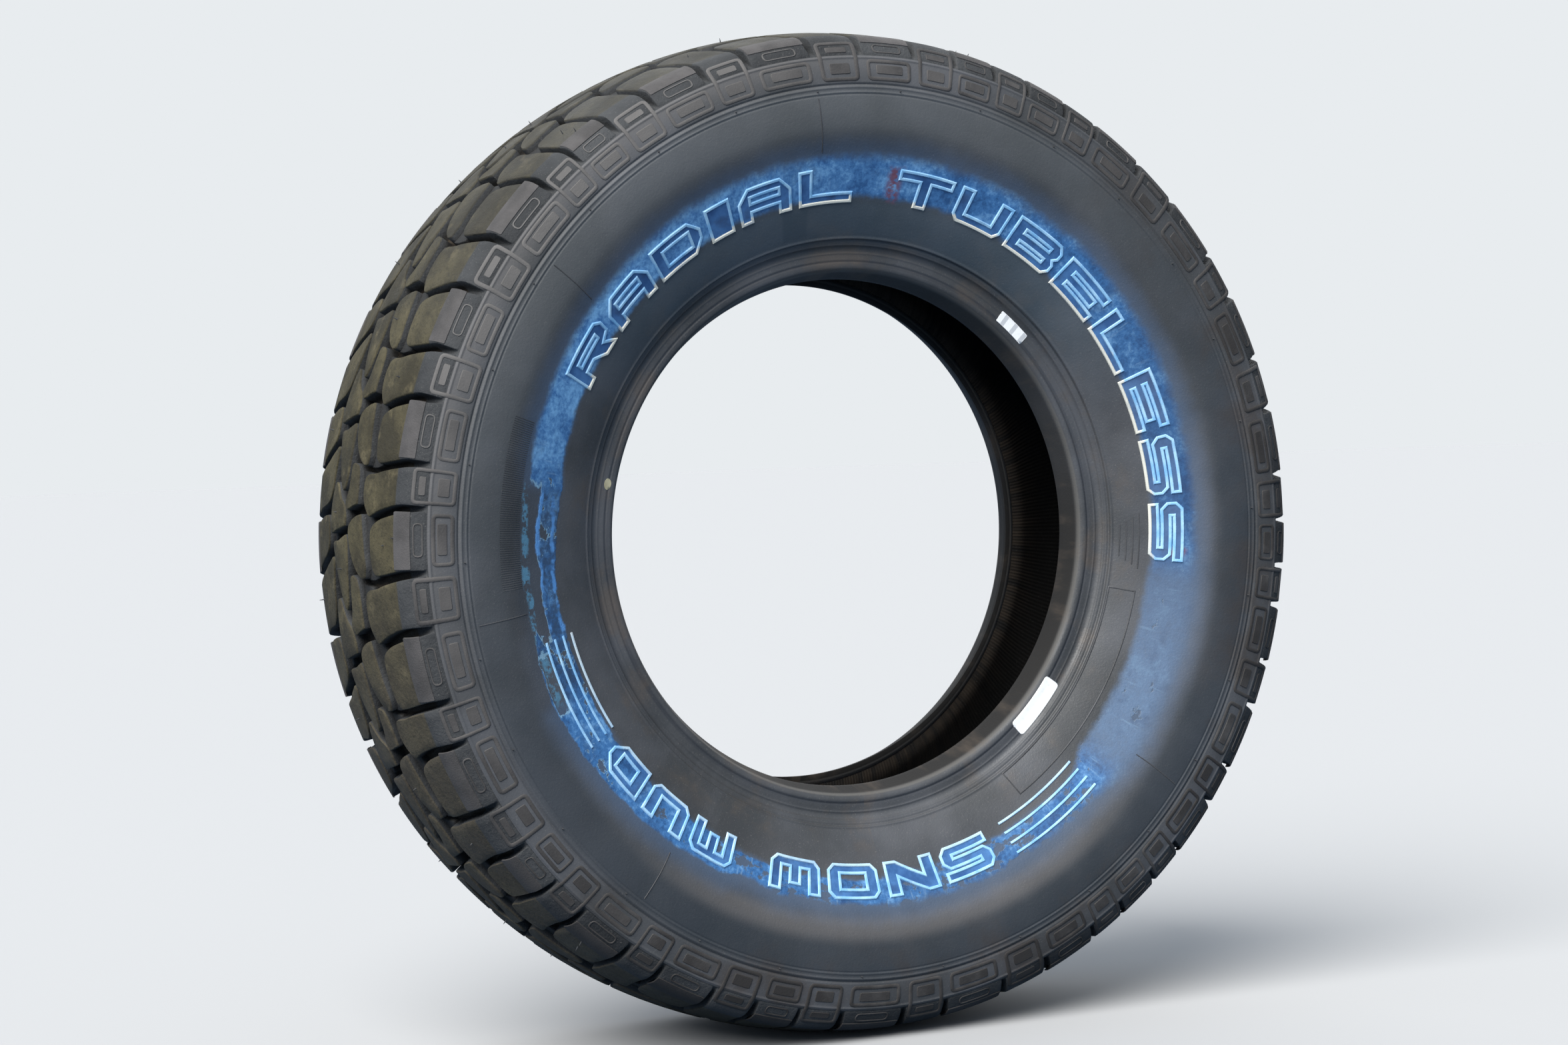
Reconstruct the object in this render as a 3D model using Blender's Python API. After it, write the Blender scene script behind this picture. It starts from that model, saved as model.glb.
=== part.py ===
"""Unmounted all-terrain light-truck radial tire, standing upright on its tread.

Every layer of the tire is its own closed ring.  Sections are written in millimetres as
(y, r) points, y along the tire's axis and r from the axis, and become metres in the meshes.
The axis lies along Y, the lettered sidewall faces -Y, +Z is up and the centre is the origin.
"""

import math

import bmesh
import bpy

for old in list(bpy.data.objects):
    bpy.data.objects.remove(old, do_unlink=True)

MM = 0.001
GAP = 0.3
RING_SEGMENTS = 28
SMOOTH_ANGLE = math.radians(32.0)

# Crown: the tread surface is a shallow arc, the layers under it a flat with two slopes.
CROWN_RADIUS = 400.0
CROWN_ARC = 0.0013
CROWN_FLAT_HALF = 36.0
CROWN_FLAT_DROP = 1.7
CROWN_SLOPE = 0.1635
CONTACT_PLANE_Z = -396.8

# Radius of each crown layer at the axis of symmetry before the crown drop, top and bottom.
TREAD_CAP_INSIDE = 383.5
TREAD_BASE_SPAN = (383.2, 381.2, 90.0)
CAP_PLY_SPAN = (380.9, 379.7, 84.0)
OUTER_BELT_SPAN = (379.4, 377.9, 76.0)
INNER_BELT_SPAN = (377.6, 376.1, 82.0)
WEDGE_TOP = 375.8
WEDGE_HALF_SPAN = (70.5, 88.0)

# Carcass: thicknesses and the line of the outer body ply's outside, crown to bead.
PLY_THICKNESS = 1.2
LINER_THICKNESS = 2.0
CARCASS = [
    (36.0, 374.1),
    (66.0, 369.2),
    (92.0, 359.0),
    (106.5, 338.0),
    (105.0, 313.0),
    (83.5, 257.0),
    (65.8, 224.5),
    (64.4, 212.0),
]
INNER_PLY_UPPER_POINTS = 5
INNER_PLY_LOWER = [(80.3, 258.5), (54.3, 222.0), (52.6, 211.2)]

# Bead: core, filler and the chafer that wraps the seat.
CORE_CENTRE = (57.9, 217.0)
CORE_HALF_WIDTH = 3.9
CORE_FLAT_HALF = 2.2
CORE_HALF_HEIGHT = 4.4
FILLER_BOTTOM = 222.7
FILLER_TIP = 251.0
BEAD_FACE_Y = 68.5
BEAD_FACE_RADII = (210.5, 224.5)
BEAD_HEEL = (66.0, 207.5)
BEAD_TOE = (44.5, 201.0)
CHAFER_TOP = (72.0, 228.5)
CHAFER_LEG_TOP = 210.6
CHAFER_LEG_INSIDE = 48.2

# Sidewall outside, and the straight band that carries the white rubber insert.
SIDEWALL_LOWER = [(72.2, 228.8), (79.5, 238.5)]
SIDEWALL_UPPER = [(108.5, 306.0), (112.3, 322.0), (113.2, 338.0), (110.9, 362.2)]
SIDEWALL_TOP_INNER = [(90.0, 362.2), (90.0, 360.4)]
INSERT_BAND = [(86.3, 251.0), (105.2, 298.0)]
RECESS_DEPTH = 3.2
VENEER_DEPTHS = (0.0, 1.1)
INSERT_DEPTHS = (1.4, 2.9)
WING = [(106.95, 376.2), (110.8, 362.5), (90.6, 362.5), (90.6, 372.6)]

# Tread blocks: pitch letters clockwise from the first groove, wide and narrow blocks in turn.
PITCHES = "MSMMMLLSSMMMLLMMSSSSMLLMLLLMSSMMLSMSSSMLLMLMSMMSMSSMLSLL"
WIDE_PITCH = {"S": 5.2, "M": 6.8, "L": 7.8}
NARROW_PITCH = {"S": 5.4, "M": 6.3, "L": 7.0}
FIRST_GROOVE_ANGLE = 267.9
GROOVE_HALF_ANGLE = 0.6
SKID_DEPTH = 12.0
SHOULDER_GROOVE_DEPTH = 8.5
CAP_INNER_EDGE = 90.3
CAP_SIDE_BOTTOM = (106.8, 376.5)
SHOULDER_EDGE = (100.0, 386.0)
TREAD_EDGE_Y = 87.0
# Axial places of each tread row for a wide and a narrow block: shoulder block end, zigzag
# groove floor, centre block start, centre block end.
WIDE_ROWS = (52.0, 45.5, 39.0, 8.0)
NARROW_ROWS = (37.5, 31.5, 26.0, 3.5)

# Paper labels on the front bead face: middle angle, middle radius, length, height.
LABEL_THICKNESS = 0.25
BEAD_LABEL = (133.0, 216.2, 48.0, 8.6)
SMALL_LABEL = (43.0, 216.2, 30.0, 8.0)


def make_material(name, colour, roughness, metallic=0.0):
    material = bpy.data.materials.new(name)
    material.use_nodes = True
    shader = material.node_tree.nodes["Principled BSDF"]
    shader.inputs["Base Color"].default_value = (*colour, 1.0)
    shader.inputs["Roughness"].default_value = roughness
    shader.inputs["Metallic"].default_value = metallic
    material.diffuse_color = (*colour, 1.0)
    return material


def finish_object(name, mesh, material):
    mesh.materials.append(material)
    mesh.shade_smooth()
    mesh.set_sharp_from_angle(angle=SMOOTH_ANGLE)
    piece = bpy.data.objects.new(name, mesh)
    bpy.context.scene.collection.objects.link(piece)
    return piece


def wheel_point(angle, y, radius):
    turn = math.radians(angle)
    return (radius * math.sin(turn), y, radius * math.cos(turn))


def ring_angles():
    return [360.0 * index / RING_SEGMENTS for index in range(RING_SEGMENTS)]


def facet_radius(angle, corner_radius):
    """Radius at an angle on the ring polygon whose corners lie at corner_radius."""
    half = 180.0 / RING_SEGMENTS
    from_middle = angle % (2.0 * half) - half
    return corner_radius * math.cos(math.radians(half)) / math.cos(math.radians(from_middle))


def mirror(points):
    return [(-y, radius) for y, radius in points]


def signed_area(points):
    total = 0.0
    for (y_a, r_a), (y_b, r_b) in zip(points, points[1:] + points[:1]):
        total += y_a * r_b - y_b * r_a
    return total / 2.0


def add_ring(name, section, material):
    """Spin a closed (y, r) section once round the axis into one closed faceted ring."""
    points = section if signed_area(section) > 0.0 else section[::-1]
    shape = bmesh.new()
    corners = [shape.verts.new((0.0, y * MM, radius * MM)) for y, radius in points]
    edges = [shape.edges.new(pair) for pair in zip(corners, corners[1:] + corners[:1])]
    bmesh.ops.spin(
        shape,
        geom=corners + edges,
        cent=(0.0, 0.0, 0.0),
        axis=(0.0, 1.0, 0.0),
        angle=math.tau,
        steps=RING_SEGMENTS,
        use_merge=True,
    )
    mesh = bpy.data.meshes.new(name)
    shape.to_mesh(mesh)
    shape.free()
    return finish_object(name, mesh, material)


def add_ring_pair(name, section, material):
    add_ring(name + "_front", mirror(section), material)
    add_ring(name + "_back", section, material)


def offset_path(path, distance):
    """Mitred offset of an open path, to its right-hand side for a positive distance."""
    normals = []
    for (y_a, r_a), (y_b, r_b) in zip(path, path[1:]):
        length = math.hypot(y_b - y_a, r_b - r_a)
        normals.append(((r_b - r_a) / length, (y_a - y_b) / length))
    before = [normals[0]] + normals
    after = normals + [normals[-1]]
    shifted = []
    for (y, radius), (y_n, r_n), (y_m, r_m) in zip(path, before, after):
        scale = distance / (1.0 + y_n * y_m + r_n * r_m)
        shifted.append((y + (y_n + y_m) * scale, radius + (r_n + r_m) * scale))
    return shifted


def at_radius(path, radius):
    """The point where a path that runs inwards first passes a radius."""
    for (y_a, r_a), (y_b, r_b) in zip(path, path[1:]):
        if r_b <= radius <= r_a:
            part = (r_a - radius) / (r_a - r_b)
            return (y_a + (y_b - y_a) * part, radius)
    return path[-1]


def crown_drop(y):
    return -CROWN_FLAT_DROP - CROWN_SLOPE * max(0.0, abs(y) - CROWN_FLAT_HALF)


def add_crown_band(name, span, material):
    top, bottom, half_width = span
    places = [-half_width, -CROWN_FLAT_HALF, CROWN_FLAT_HALF, half_width]
    upper = [(y, top + crown_drop(y)) for y in places]
    lower = [(y, bottom + crown_drop(y)) for y in places]
    add_ring(name, upper + lower[::-1], material)


def add_carcass_layer(name, outside, inside, material):
    """A layer from bead to bead, given as its two faces on one half of the section."""
    add_ring(name, outside[::-1] + mirror(outside) + mirror(inside)[::-1] + inside, material)


rubber = make_material("black_rubber", (0.035, 0.034, 0.033), 0.75)
base_rubber = make_material("base_rubber", (0.05, 0.045, 0.04), 0.8)
liner_rubber = make_material("liner_rubber", (0.02, 0.02, 0.02), 0.5)
filler_rubber = make_material("filler_rubber", (0.06, 0.05, 0.045), 0.7)
white_rubber = make_material("white_rubber", (0.8, 0.79, 0.74), 0.6)
nylon = make_material("nylon_cord", (0.62, 0.58, 0.48), 0.7)
polyester = make_material("polyester_cord", (0.5, 0.38, 0.24), 0.7)
steel = make_material("steel_cord", (0.55, 0.48, 0.36), 0.4, 0.9)
bead_wire = make_material("bead_wire", (0.6, 0.45, 0.28), 0.35, 0.9)
label_paper = make_material("label_paper", (0.85, 0.85, 0.83), 0.6)
silver_label = make_material("silver_label", (0.6, 0.62, 0.64), 0.4)

# Crown layers.
add_crown_band("tread_base", TREAD_BASE_SPAN, base_rubber)
add_crown_band("cap_ply", CAP_PLY_SPAN, nylon)
add_crown_band("steel_belt_outer", OUTER_BELT_SPAN, steel)
add_crown_band("steel_belt_inner", INNER_BELT_SPAN, steel)

# Body plies and inner liner.  The inner ply turns up round the bead core.
outer_ply_inside = offset_path(CARCASS, PLY_THICKNESS)
add_carcass_layer("body_ply_outer", CARCASS, outer_ply_inside, polyester)

under_outer_ply = offset_path(CARCASS, PLY_THICKNESS + GAP)
turn_up = offset_path(CARCASS, 2.0 * PLY_THICKNESS + GAP)
inner_ply_down = under_outer_ply[:INNER_PLY_UPPER_POINTS] + INNER_PLY_LOWER
inner_ply_path = inner_ply_down + [turn_up[-1], turn_up[-2], turn_up[-3]]
inner_ply_inside = offset_path(inner_ply_path, PLY_THICKNESS)
add_carcass_layer("body_ply_inner", inner_ply_path, inner_ply_inside, polyester)

liner_outside = offset_path(inner_ply_down, PLY_THICKNESS + GAP)
liner_inside = offset_path(inner_ply_down, PLY_THICKNESS + GAP + LINER_THICKNESS)
add_carcass_layer("inner_liner", liner_outside, liner_inside, liner_rubber)

# Belt edge wedges, between the belts' edge and the carcass.
carcass_outside = offset_path(CARCASS, -GAP)
wedge_start, wedge_end = WEDGE_HALF_SPAN
slope = (CARCASS[2][1] - CARCASS[1][1]) / (CARCASS[2][0] - CARCASS[1][0])
wedge_floor = [
    (y, CARCASS[1][1] + slope * (y - CARCASS[1][0]) + GAP / math.cos(math.atan(slope)))
    for y in (wedge_end, wedge_start)
]
wedge_roof = [(y, WEDGE_TOP + crown_drop(y)) for y in (wedge_start, wedge_end)]
add_ring_pair("belt_edge_wedge", wedge_roof + wedge_floor, filler_rubber)

# Bead cores and fillers.
core_y, core_r = CORE_CENTRE
core_section = [
    (core_y - CORE_HALF_WIDTH, core_r),
    (core_y - CORE_FLAT_HALF, core_r + CORE_HALF_HEIGHT),
    (core_y + CORE_FLAT_HALF, core_r + CORE_HALF_HEIGHT),
    (core_y + CORE_HALF_WIDTH, core_r),
    (core_y + CORE_FLAT_HALF, core_r - CORE_HALF_HEIGHT),
    (core_y - CORE_FLAT_HALF, core_r - CORE_HALF_HEIGHT),
]
add_ring_pair("bead_core", core_section, bead_wire)

filler_outer_face = offset_path(CARCASS, 2.0 * (PLY_THICKNESS + GAP))
filler_inner_face = offset_path(inner_ply_down, -GAP)
filler_section = [
    at_radius(filler_outer_face, FILLER_TIP),
    filler_outer_face[-2],
    at_radius(filler_outer_face, FILLER_BOTTOM),
    at_radius(filler_inner_face, FILLER_BOTTOM),
    at_radius(filler_inner_face, FILLER_TIP),
]
add_ring_pair("bead_filler", filler_section, filler_rubber)

# Chafers: the bead seats and flange faces.
round_ply = offset_path(inner_ply_path, PLY_THICKNESS + GAP)
ply_bottom = len(inner_ply_down) - 1
chafer_section = [
    CHAFER_TOP,
    (BEAD_FACE_Y, BEAD_FACE_RADII[1]),
    (BEAD_FACE_Y, BEAD_FACE_RADII[0]),
    BEAD_HEEL,
    BEAD_TOE,
    (CHAFER_LEG_INSIDE, CHAFER_LEG_TOP),
    (round_ply[ply_bottom][0], CHAFER_LEG_TOP),
    round_ply[ply_bottom],
    round_ply[ply_bottom + 1],
    (carcass_outside[-1][0], carcass_outside[-1][1] - 2.0 * GAP),
    carcass_outside[-2],
    at_radius(carcass_outside, CHAFER_TOP[1]),
]
add_ring_pair("chafer", chafer_section, rubber)

# Sidewalls, with the white insert and its cover strip set into the front one.
sidewall_inside = carcass_outside[2:6] + [at_radius(carcass_outside, SIDEWALL_LOWER[0][1])]
sidewall_rest = SIDEWALL_UPPER + SIDEWALL_TOP_INNER + sidewall_inside
add_ring("sidewall_back", SIDEWALL_LOWER + INSERT_BAND + sidewall_rest, rubber)

(band_y, band_r), (band_end_y, band_end_r) = INSERT_BAND
band_length = math.hypot(band_end_y - band_y, band_end_r - band_r)
along = ((band_end_y - band_y) / band_length, (band_end_r - band_r) / band_length)
inward = (-along[1], along[0])


def band_point(distance, depth):
    """A point measured along the insert band from its lower end, and below its surface."""
    return (
        band_y + along[0] * distance + inward[0] * depth,
        band_r + along[1] * distance + inward[1] * depth,
    )


recess = [
    band_point(0.0, 0.0),
    band_point(0.0, RECESS_DEPTH),
    band_point(band_length, RECESS_DEPTH),
    band_point(band_length, 0.0),
]
add_ring("sidewall_front", mirror(SIDEWALL_LOWER + recess + sidewall_rest), rubber)

for strip_name, depths, strip_material in (
    ("white_rubber_insert", INSERT_DEPTHS, white_rubber),
    ("sidewall_veneer", VENEER_DEPTHS, rubber),
):
    strip = [
        band_point(GAP, depths[0]),
        band_point(GAP, depths[1]),
        band_point(band_length - GAP, depths[1]),
        band_point(band_length - GAP, depths[0]),
    ]
    add_ring(strip_name, mirror(strip), strip_material)

add_ring_pair("tread_wing", WING, rubber)


# Tread cap: a grid of groove stations round the tire and rows across it.
def groove_angles():
    tables = (WIDE_PITCH, NARROW_PITCH)
    lengths = [tables[index % 2][letter] for index, letter in enumerate(PITCHES)]
    scale = 360.0 / sum(lengths)
    angles = []
    angle = FIRST_GROOVE_ANGLE
    for length in lengths:
        angles.append(angle)
        angle += length * scale
    return angles


def tread_radius(y):
    return CROWN_RADIUS - CROWN_ARC * y * y


def row_places(block, back):
    """Axial places of the rows of one block.  The back half has wide and narrow swapped."""
    wide = block % 2 == (1 if back else 0)
    return WIDE_ROWS if wide else NARROW_ROWS


def half_column(blocks, back):
    """(y, r) of one station from the shoulder edge to the centre block's inner end.

    A station on a block edge has one block; a groove's own station has the two beside it.
    """
    in_groove = len(blocks) == 2
    depth = SKID_DEPTH if in_groove else 0.0
    edge_depth = SHOULDER_GROOVE_DEPTH if in_groove else 0.0
    rows = [row_places(block, back) for block in blocks]
    end, floor, start, middle = [sum(values) / len(values) for values in zip(*rows)]
    column = [
        (SHOULDER_EDGE[0], SHOULDER_EDGE[1] - edge_depth),
        (TREAD_EDGE_Y, tread_radius(TREAD_EDGE_Y) - depth),
        (end, tread_radius(end) - depth),
        (floor, tread_radius(floor) - SKID_DEPTH),
        (start, tread_radius(start) - depth),
        (middle, tread_radius(middle) - depth),
    ]
    return column


def tread_column(blocks):
    front = [(-y, radius) for y, radius in half_column(blocks, False)]
    back = half_column(blocks, True)
    return front + [(0.0, tread_radius(0.0) - SKID_DEPTH)] + back[::-1]


def zip_loops(faces, first, second, reverse):
    """Fill between two closed loops of (angle, vertex), each in order of rising angle."""
    first = first + [(first[0][0] + 360.0, first[0][1])]
    second = second + [(second[0][0] + 360.0, second[0][1])]
    i = 0
    j = 0
    while i < len(first) - 1 or j < len(second) - 1:
        step_first = j == len(second) - 1
        if i < len(first) - 1 and not step_first:
            step_first = first[i + 1][0] <= second[j + 1][0]
        if step_first:
            face = (first[i][1], second[j][1], first[i + 1][1])
            i += 1
        else:
            face = (first[i][1], second[j][1], second[j + 1][1])
            j += 1
        faces.append(face[::-1] if reverse else face)


def add_tread_cap(material):
    stations = []
    grooves = groove_angles()
    for block, angle in enumerate(grooves):
        stations.append((angle - GROOVE_HALF_ANGLE, [block - 1]))
        stations.append((angle, [block - 1, block]))
        stations.append((angle + GROOVE_HALF_ANGLE, [block]))
    stations = sorted((angle % 360.0, blocks) for angle, blocks in stations)
    angles = [angle for angle, _ in stations]
    columns = [tread_column(blocks) for _, blocks in stations]
    row_count = len(columns[0])
    vertices = []
    faces = []
    for angle, column in zip(angles, columns):
        for y, radius in column:
            x, _, z = wheel_point(angle, y, radius)
            vertices.append((x, y, max(z, CONTACT_PLANE_Z)))
    for station in range(len(stations)):
        here = station * row_count
        there = (station + 1) % len(stations) * row_count
        for row in range(row_count - 1):
            a, b = here + row, here + row + 1
            c, d = there + row + 1, there + row
            faces.append((c, b, a))
            faces.append((d, c, a))

    def add_loop(loop_angles, y, corner_radius):
        loop = []
        for angle in loop_angles:
            loop.append((angle, len(vertices)))
            vertices.append(wheel_point(angle, y, facet_radius(angle, corner_radius)))
        return loop

    corners = ring_angles()
    side_angles = sorted(angles + corners)
    inside = []
    for sign, row in ((-1, 0), (1, row_count - 1)):
        shoulder = [(angle, index * row_count + row) for index, angle in enumerate(angles)]
        side = add_loop(side_angles, sign * CAP_SIDE_BOTTOM[0], CAP_SIDE_BOTTOM[1])
        edge_radius = TREAD_CAP_INSIDE + crown_drop(CAP_INNER_EDGE)
        edge = add_loop(corners, sign * CAP_INNER_EDGE, edge_radius)
        zip_loops(faces, shoulder, side, sign > 0)
        zip_loops(faces, side, edge, sign > 0)
        flat_radius = TREAD_CAP_INSIDE + crown_drop(CROWN_FLAT_HALF)
        flat = add_loop(corners, sign * CROWN_FLAT_HALF, flat_radius)
        zip_loops(faces, edge, flat, sign > 0)
        inside.append(flat)
    zip_loops(faces, inside[0], inside[1], False)
    mesh = bpy.data.meshes.new("tread_cap")
    mesh.from_pydata([tuple(value * MM for value in vertex) for vertex in vertices], [], faces)
    return finish_object("tread_cap", mesh, material)


add_tread_cap(rubber)


def add_label(name, place, material):
    """A thin plate against the front bead face, its long side along the tire's turn."""
    angle, radius, length, height = place
    shape = bmesh.new()
    bmesh.ops.create_cube(shape, size=1.0)
    size = (length * MM, LABEL_THICKNESS * MM, height * MM)
    bmesh.ops.scale(shape, vec=size, verts=shape.verts)
    mesh = bpy.data.meshes.new(name)
    shape.to_mesh(mesh)
    shape.free()
    label = finish_object(name, mesh, material)
    y = -BEAD_FACE_Y - GAP - LABEL_THICKNESS / 2.0
    label.location = [value * MM for value in wheel_point(angle, y, radius)]
    label.rotation_euler.y = math.radians(angle)


add_label("bead_label", BEAD_LABEL, label_paper)
add_label("small_label", SMALL_LABEL, silver_label)
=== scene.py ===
"""Looks of the unmounted all-terrain tire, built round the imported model.

Sizes are in millimetres and become metres in the meshes.  A place on the tire's outside is
(angle, v): the angle in degrees clockwise from the top as seen from the lettered front, and v
the distance across the outside from the tread's middle, negative towards the front.
"""

import math
from functools import cached_property

import bmesh
import bpy
import numpy as np
from mathutils import Matrix, Vector
from mathutils.geometry import delaunay_2d_cdt


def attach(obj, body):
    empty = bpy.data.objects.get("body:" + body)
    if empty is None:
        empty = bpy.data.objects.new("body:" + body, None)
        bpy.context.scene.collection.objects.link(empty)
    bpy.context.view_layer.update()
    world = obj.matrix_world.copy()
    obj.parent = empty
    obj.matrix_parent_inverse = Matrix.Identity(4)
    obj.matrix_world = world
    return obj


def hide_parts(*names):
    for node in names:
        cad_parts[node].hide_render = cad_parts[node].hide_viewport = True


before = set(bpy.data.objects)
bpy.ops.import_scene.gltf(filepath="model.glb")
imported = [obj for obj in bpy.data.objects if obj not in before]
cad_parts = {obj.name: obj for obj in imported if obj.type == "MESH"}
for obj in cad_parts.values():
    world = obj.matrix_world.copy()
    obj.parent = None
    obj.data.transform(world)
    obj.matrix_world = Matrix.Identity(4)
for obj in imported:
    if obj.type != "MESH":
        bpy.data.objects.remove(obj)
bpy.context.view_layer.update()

MM = 0.001
SEGMENTS = 384
SMOOTH_ANGLE = math.radians(38.0)
FRONT = -1
BACK = 1

# ---------------------------------------------------------------- the section of the tire
CROWN_RADIUS = 400.0
CROWN_ARC = 0.0013
TREAD_EDGE = 87.0
CONTACT_Z = -396.8
SHOULDER_RADIUS = 372.2
BEAD_RADIUS = 228.5
LOWEST_RADIUS = 202.0

# Below the tread edge the outside is (y, r), down the shoulder and the sidewall to the bead.
SHOULDER = [(91.5, 389.3), (96.5, 387.4), (100.2, 384.6), (103.2, 380.9), (105.8, 376.6),
            (108.0, SHOULDER_RADIUS)]
SIDE = [(109.4, 367.5), (110.9, 360.5), (112.0, 353.0), (112.7, 345.0), (113.1, 336.0), (112.9, 326.0),
        (111.7, 316.0), (109.0, 306.5), (105.6, 298.0), (98.7, 281.0), (92.0, 265.0), (86.2, 251.0),
        (80.6, 240.0), (75.6, 232.0), (71.4, 227.2), (69.2, 224.6), (68.5, 221.5), (68.5, 211.5),
        (68.0, 209.6), (66.6, 208.0), (64.6, 207.0)]
TOE = [(55.0, 204.1), (46.6, 201.6), (45.2, 201.2), (44.5, 201.8), (44.6, 203.2)]
BEAD_LEG = [(44.9, 205.0), (46.2, 207.8), (48.2, 210.8), (52.0, 213.0), (58.0, 210.5), (63.5, 212.5),
            (65.6, 222.0)]
LINER_INSIDE = [(0.0, 367.3), (20.0, 367.2), (40.0, 366.2), (62.0, 363.3), (82.0, 356.0), (94.5, 347.0),
                (99.4, 336.0), (98.6, 316.0), (91.5, 294.0), (77.2, 260.0), (64.0, 238.5), (51.6, 222.0),
                (48.4, 211.4)]
LINER_THICKNESS = 2.0
SKIN_THICKNESS = 3.0
# Where the groove floors meet the outside again, going down the shoulder.
FLOOR = [(0.0, 388.0), (40.0, 385.9), (80.0, 379.9), (91.0, 377.4), (98.5, 375.8), (103.8, 374.2),
         (108.0, SHOULDER_RADIUS)]
FLOOR_THICKNESS = 4.5
# Raised or sunk rings on the sidewall: radius, half width, height.
RINGS = [(370.6, 0.9, 0.55), (349.6, 0.9, -0.9), (347.2, 0.8, 0.45), (343.4, 0.7, 0.35), (341.9, 0.6, -0.3),
         (232.6, 1.0, 0.7), (230.6, 0.9, -0.9), (227.6, 0.8, 0.5), (221.0, 0.7, 0.35), (214.4, 0.9, -0.55)]


def catmull_rom(points, step):
    """A smooth curve through points, with a point about every step."""
    points = [np.array(point, float) for point in points]
    padded = [2.0 * points[0] - points[1]] + points + [2.0 * points[-1] - points[-2]]
    curve = []
    for a, b, c, d in zip(padded, padded[1:], padded[2:], padded[3:]):
        count = max(1, int(round(np.linalg.norm(c - b) / step)))
        for t in np.arange(count) / count:
            curve.append(0.5 * (2.0 * b + (c - a) * t + (2.0 * a - 5.0 * b + 4.0 * c - d) * t**2
                                + (3.0 * b - a - 3.0 * c + d) * t**3))
    curve.append(points[-1])
    return np.array(curve)


def tread_radius(y):
    return CROWN_RADIUS - CROWN_ARC * y * y


def normals(path, along=None):
    """Unit normals of a (y, r) path, to the outside of one that runs down to the bead."""
    slope = np.gradient(path, axis=0) if along is None else np.gradient(path, along, axis=0)
    normal = np.column_stack([-slope[:, 1], slope[:, 0]])
    return normal / np.linalg.norm(normal, axis=1)[:, None]


def outside_path():
    """The outside of one half, tread middle to bead toe: v, (y, r), normal and the rings' height."""
    crown = [(y, tread_radius(y)) for y in np.arange(0.0, TREAD_EDGE, 4.0)]
    side = catmull_rom([(TREAD_EDGE, tread_radius(TREAD_EDGE))] + SHOULDER + SIDE + TOE, 0.45)
    path = np.vstack([crown, side])
    v = np.concatenate([[0.0], np.cumsum(np.linalg.norm(np.diff(path, axis=0), axis=1))])
    lift = np.zeros(len(path))
    on_side = path[:, 0] > 68.0
    for radius, half_width, height in RINGS:
        away = (path[:, 1] - radius) / half_width
        lift += np.where(on_side, height * np.exp(-away * away), 0.0)
    return v, path, normals(path, v), lift


OUT_V, OUT_PATH, OUT_NORMAL, OUT_LIFT = outside_path()
FALLING = slice(0, int(np.argmin(OUT_PATH[:, 1])) + 1)


def v_at(radius):
    """The v where the outside of the sidewall has this radius."""
    return np.interp(-np.asarray(radius, float), -OUT_PATH[FALLING, 1], OUT_V[FALLING])


V_FLOOR_END = v_at(SHOULDER_RADIUS)
FLOOR_CURVE = catmull_rom(FLOOR, 2.0)


def raised(v, lift=0.0):
    """(y, r) at an unsigned v, lifted along the normal over the moulded rings."""
    height = lift + np.interp(v, OUT_V, OUT_LIFT)
    y = np.interp(v, OUT_V, OUT_PATH[:, 0]) + height * np.interp(v, OUT_V, OUT_NORMAL[:, 0])
    radius = np.interp(v, OUT_V, OUT_PATH[:, 1]) + height * np.interp(v, OUT_V, OUT_NORMAL[:, 1])
    return np.stack([y, radius], axis=-1)


def wheel_points(angle, y, radius):
    turn = np.radians(angle)
    x, y, z = np.broadcast_arrays(radius * np.sin(turn), y, radius * np.cos(turn))
    return np.stack([x, y, z], axis=-1)


def on_outside(angle, v, lift):
    """Points on the outside: arrays of angle, signed v and lift along the normal."""
    flat = raised(np.abs(v), lift)
    return wheel_points(angle, flat[..., 0] * np.where(v < 0.0, -1.0, 1.0), flat[..., 1])


def in_tread(angle, v, share):
    """Points between the groove floor (share 0) and the tread's outside (share 1)."""
    a = np.minimum(np.abs(v), V_FLOOR_END)
    y = np.interp(a, OUT_V, OUT_PATH[:, 0])
    top = np.interp(a, OUT_V, OUT_PATH[:, 1])
    floor = np.interp(y, FLOOR_CURVE[:, 0], FLOOR_CURVE[:, 1])
    points = wheel_points(angle, y * np.where(v < 0.0, -1.0, 1.0), floor + (top - floor) * share)
    points[..., 2] = np.maximum(points[..., 2], CONTACT_Z)
    return points


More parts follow.
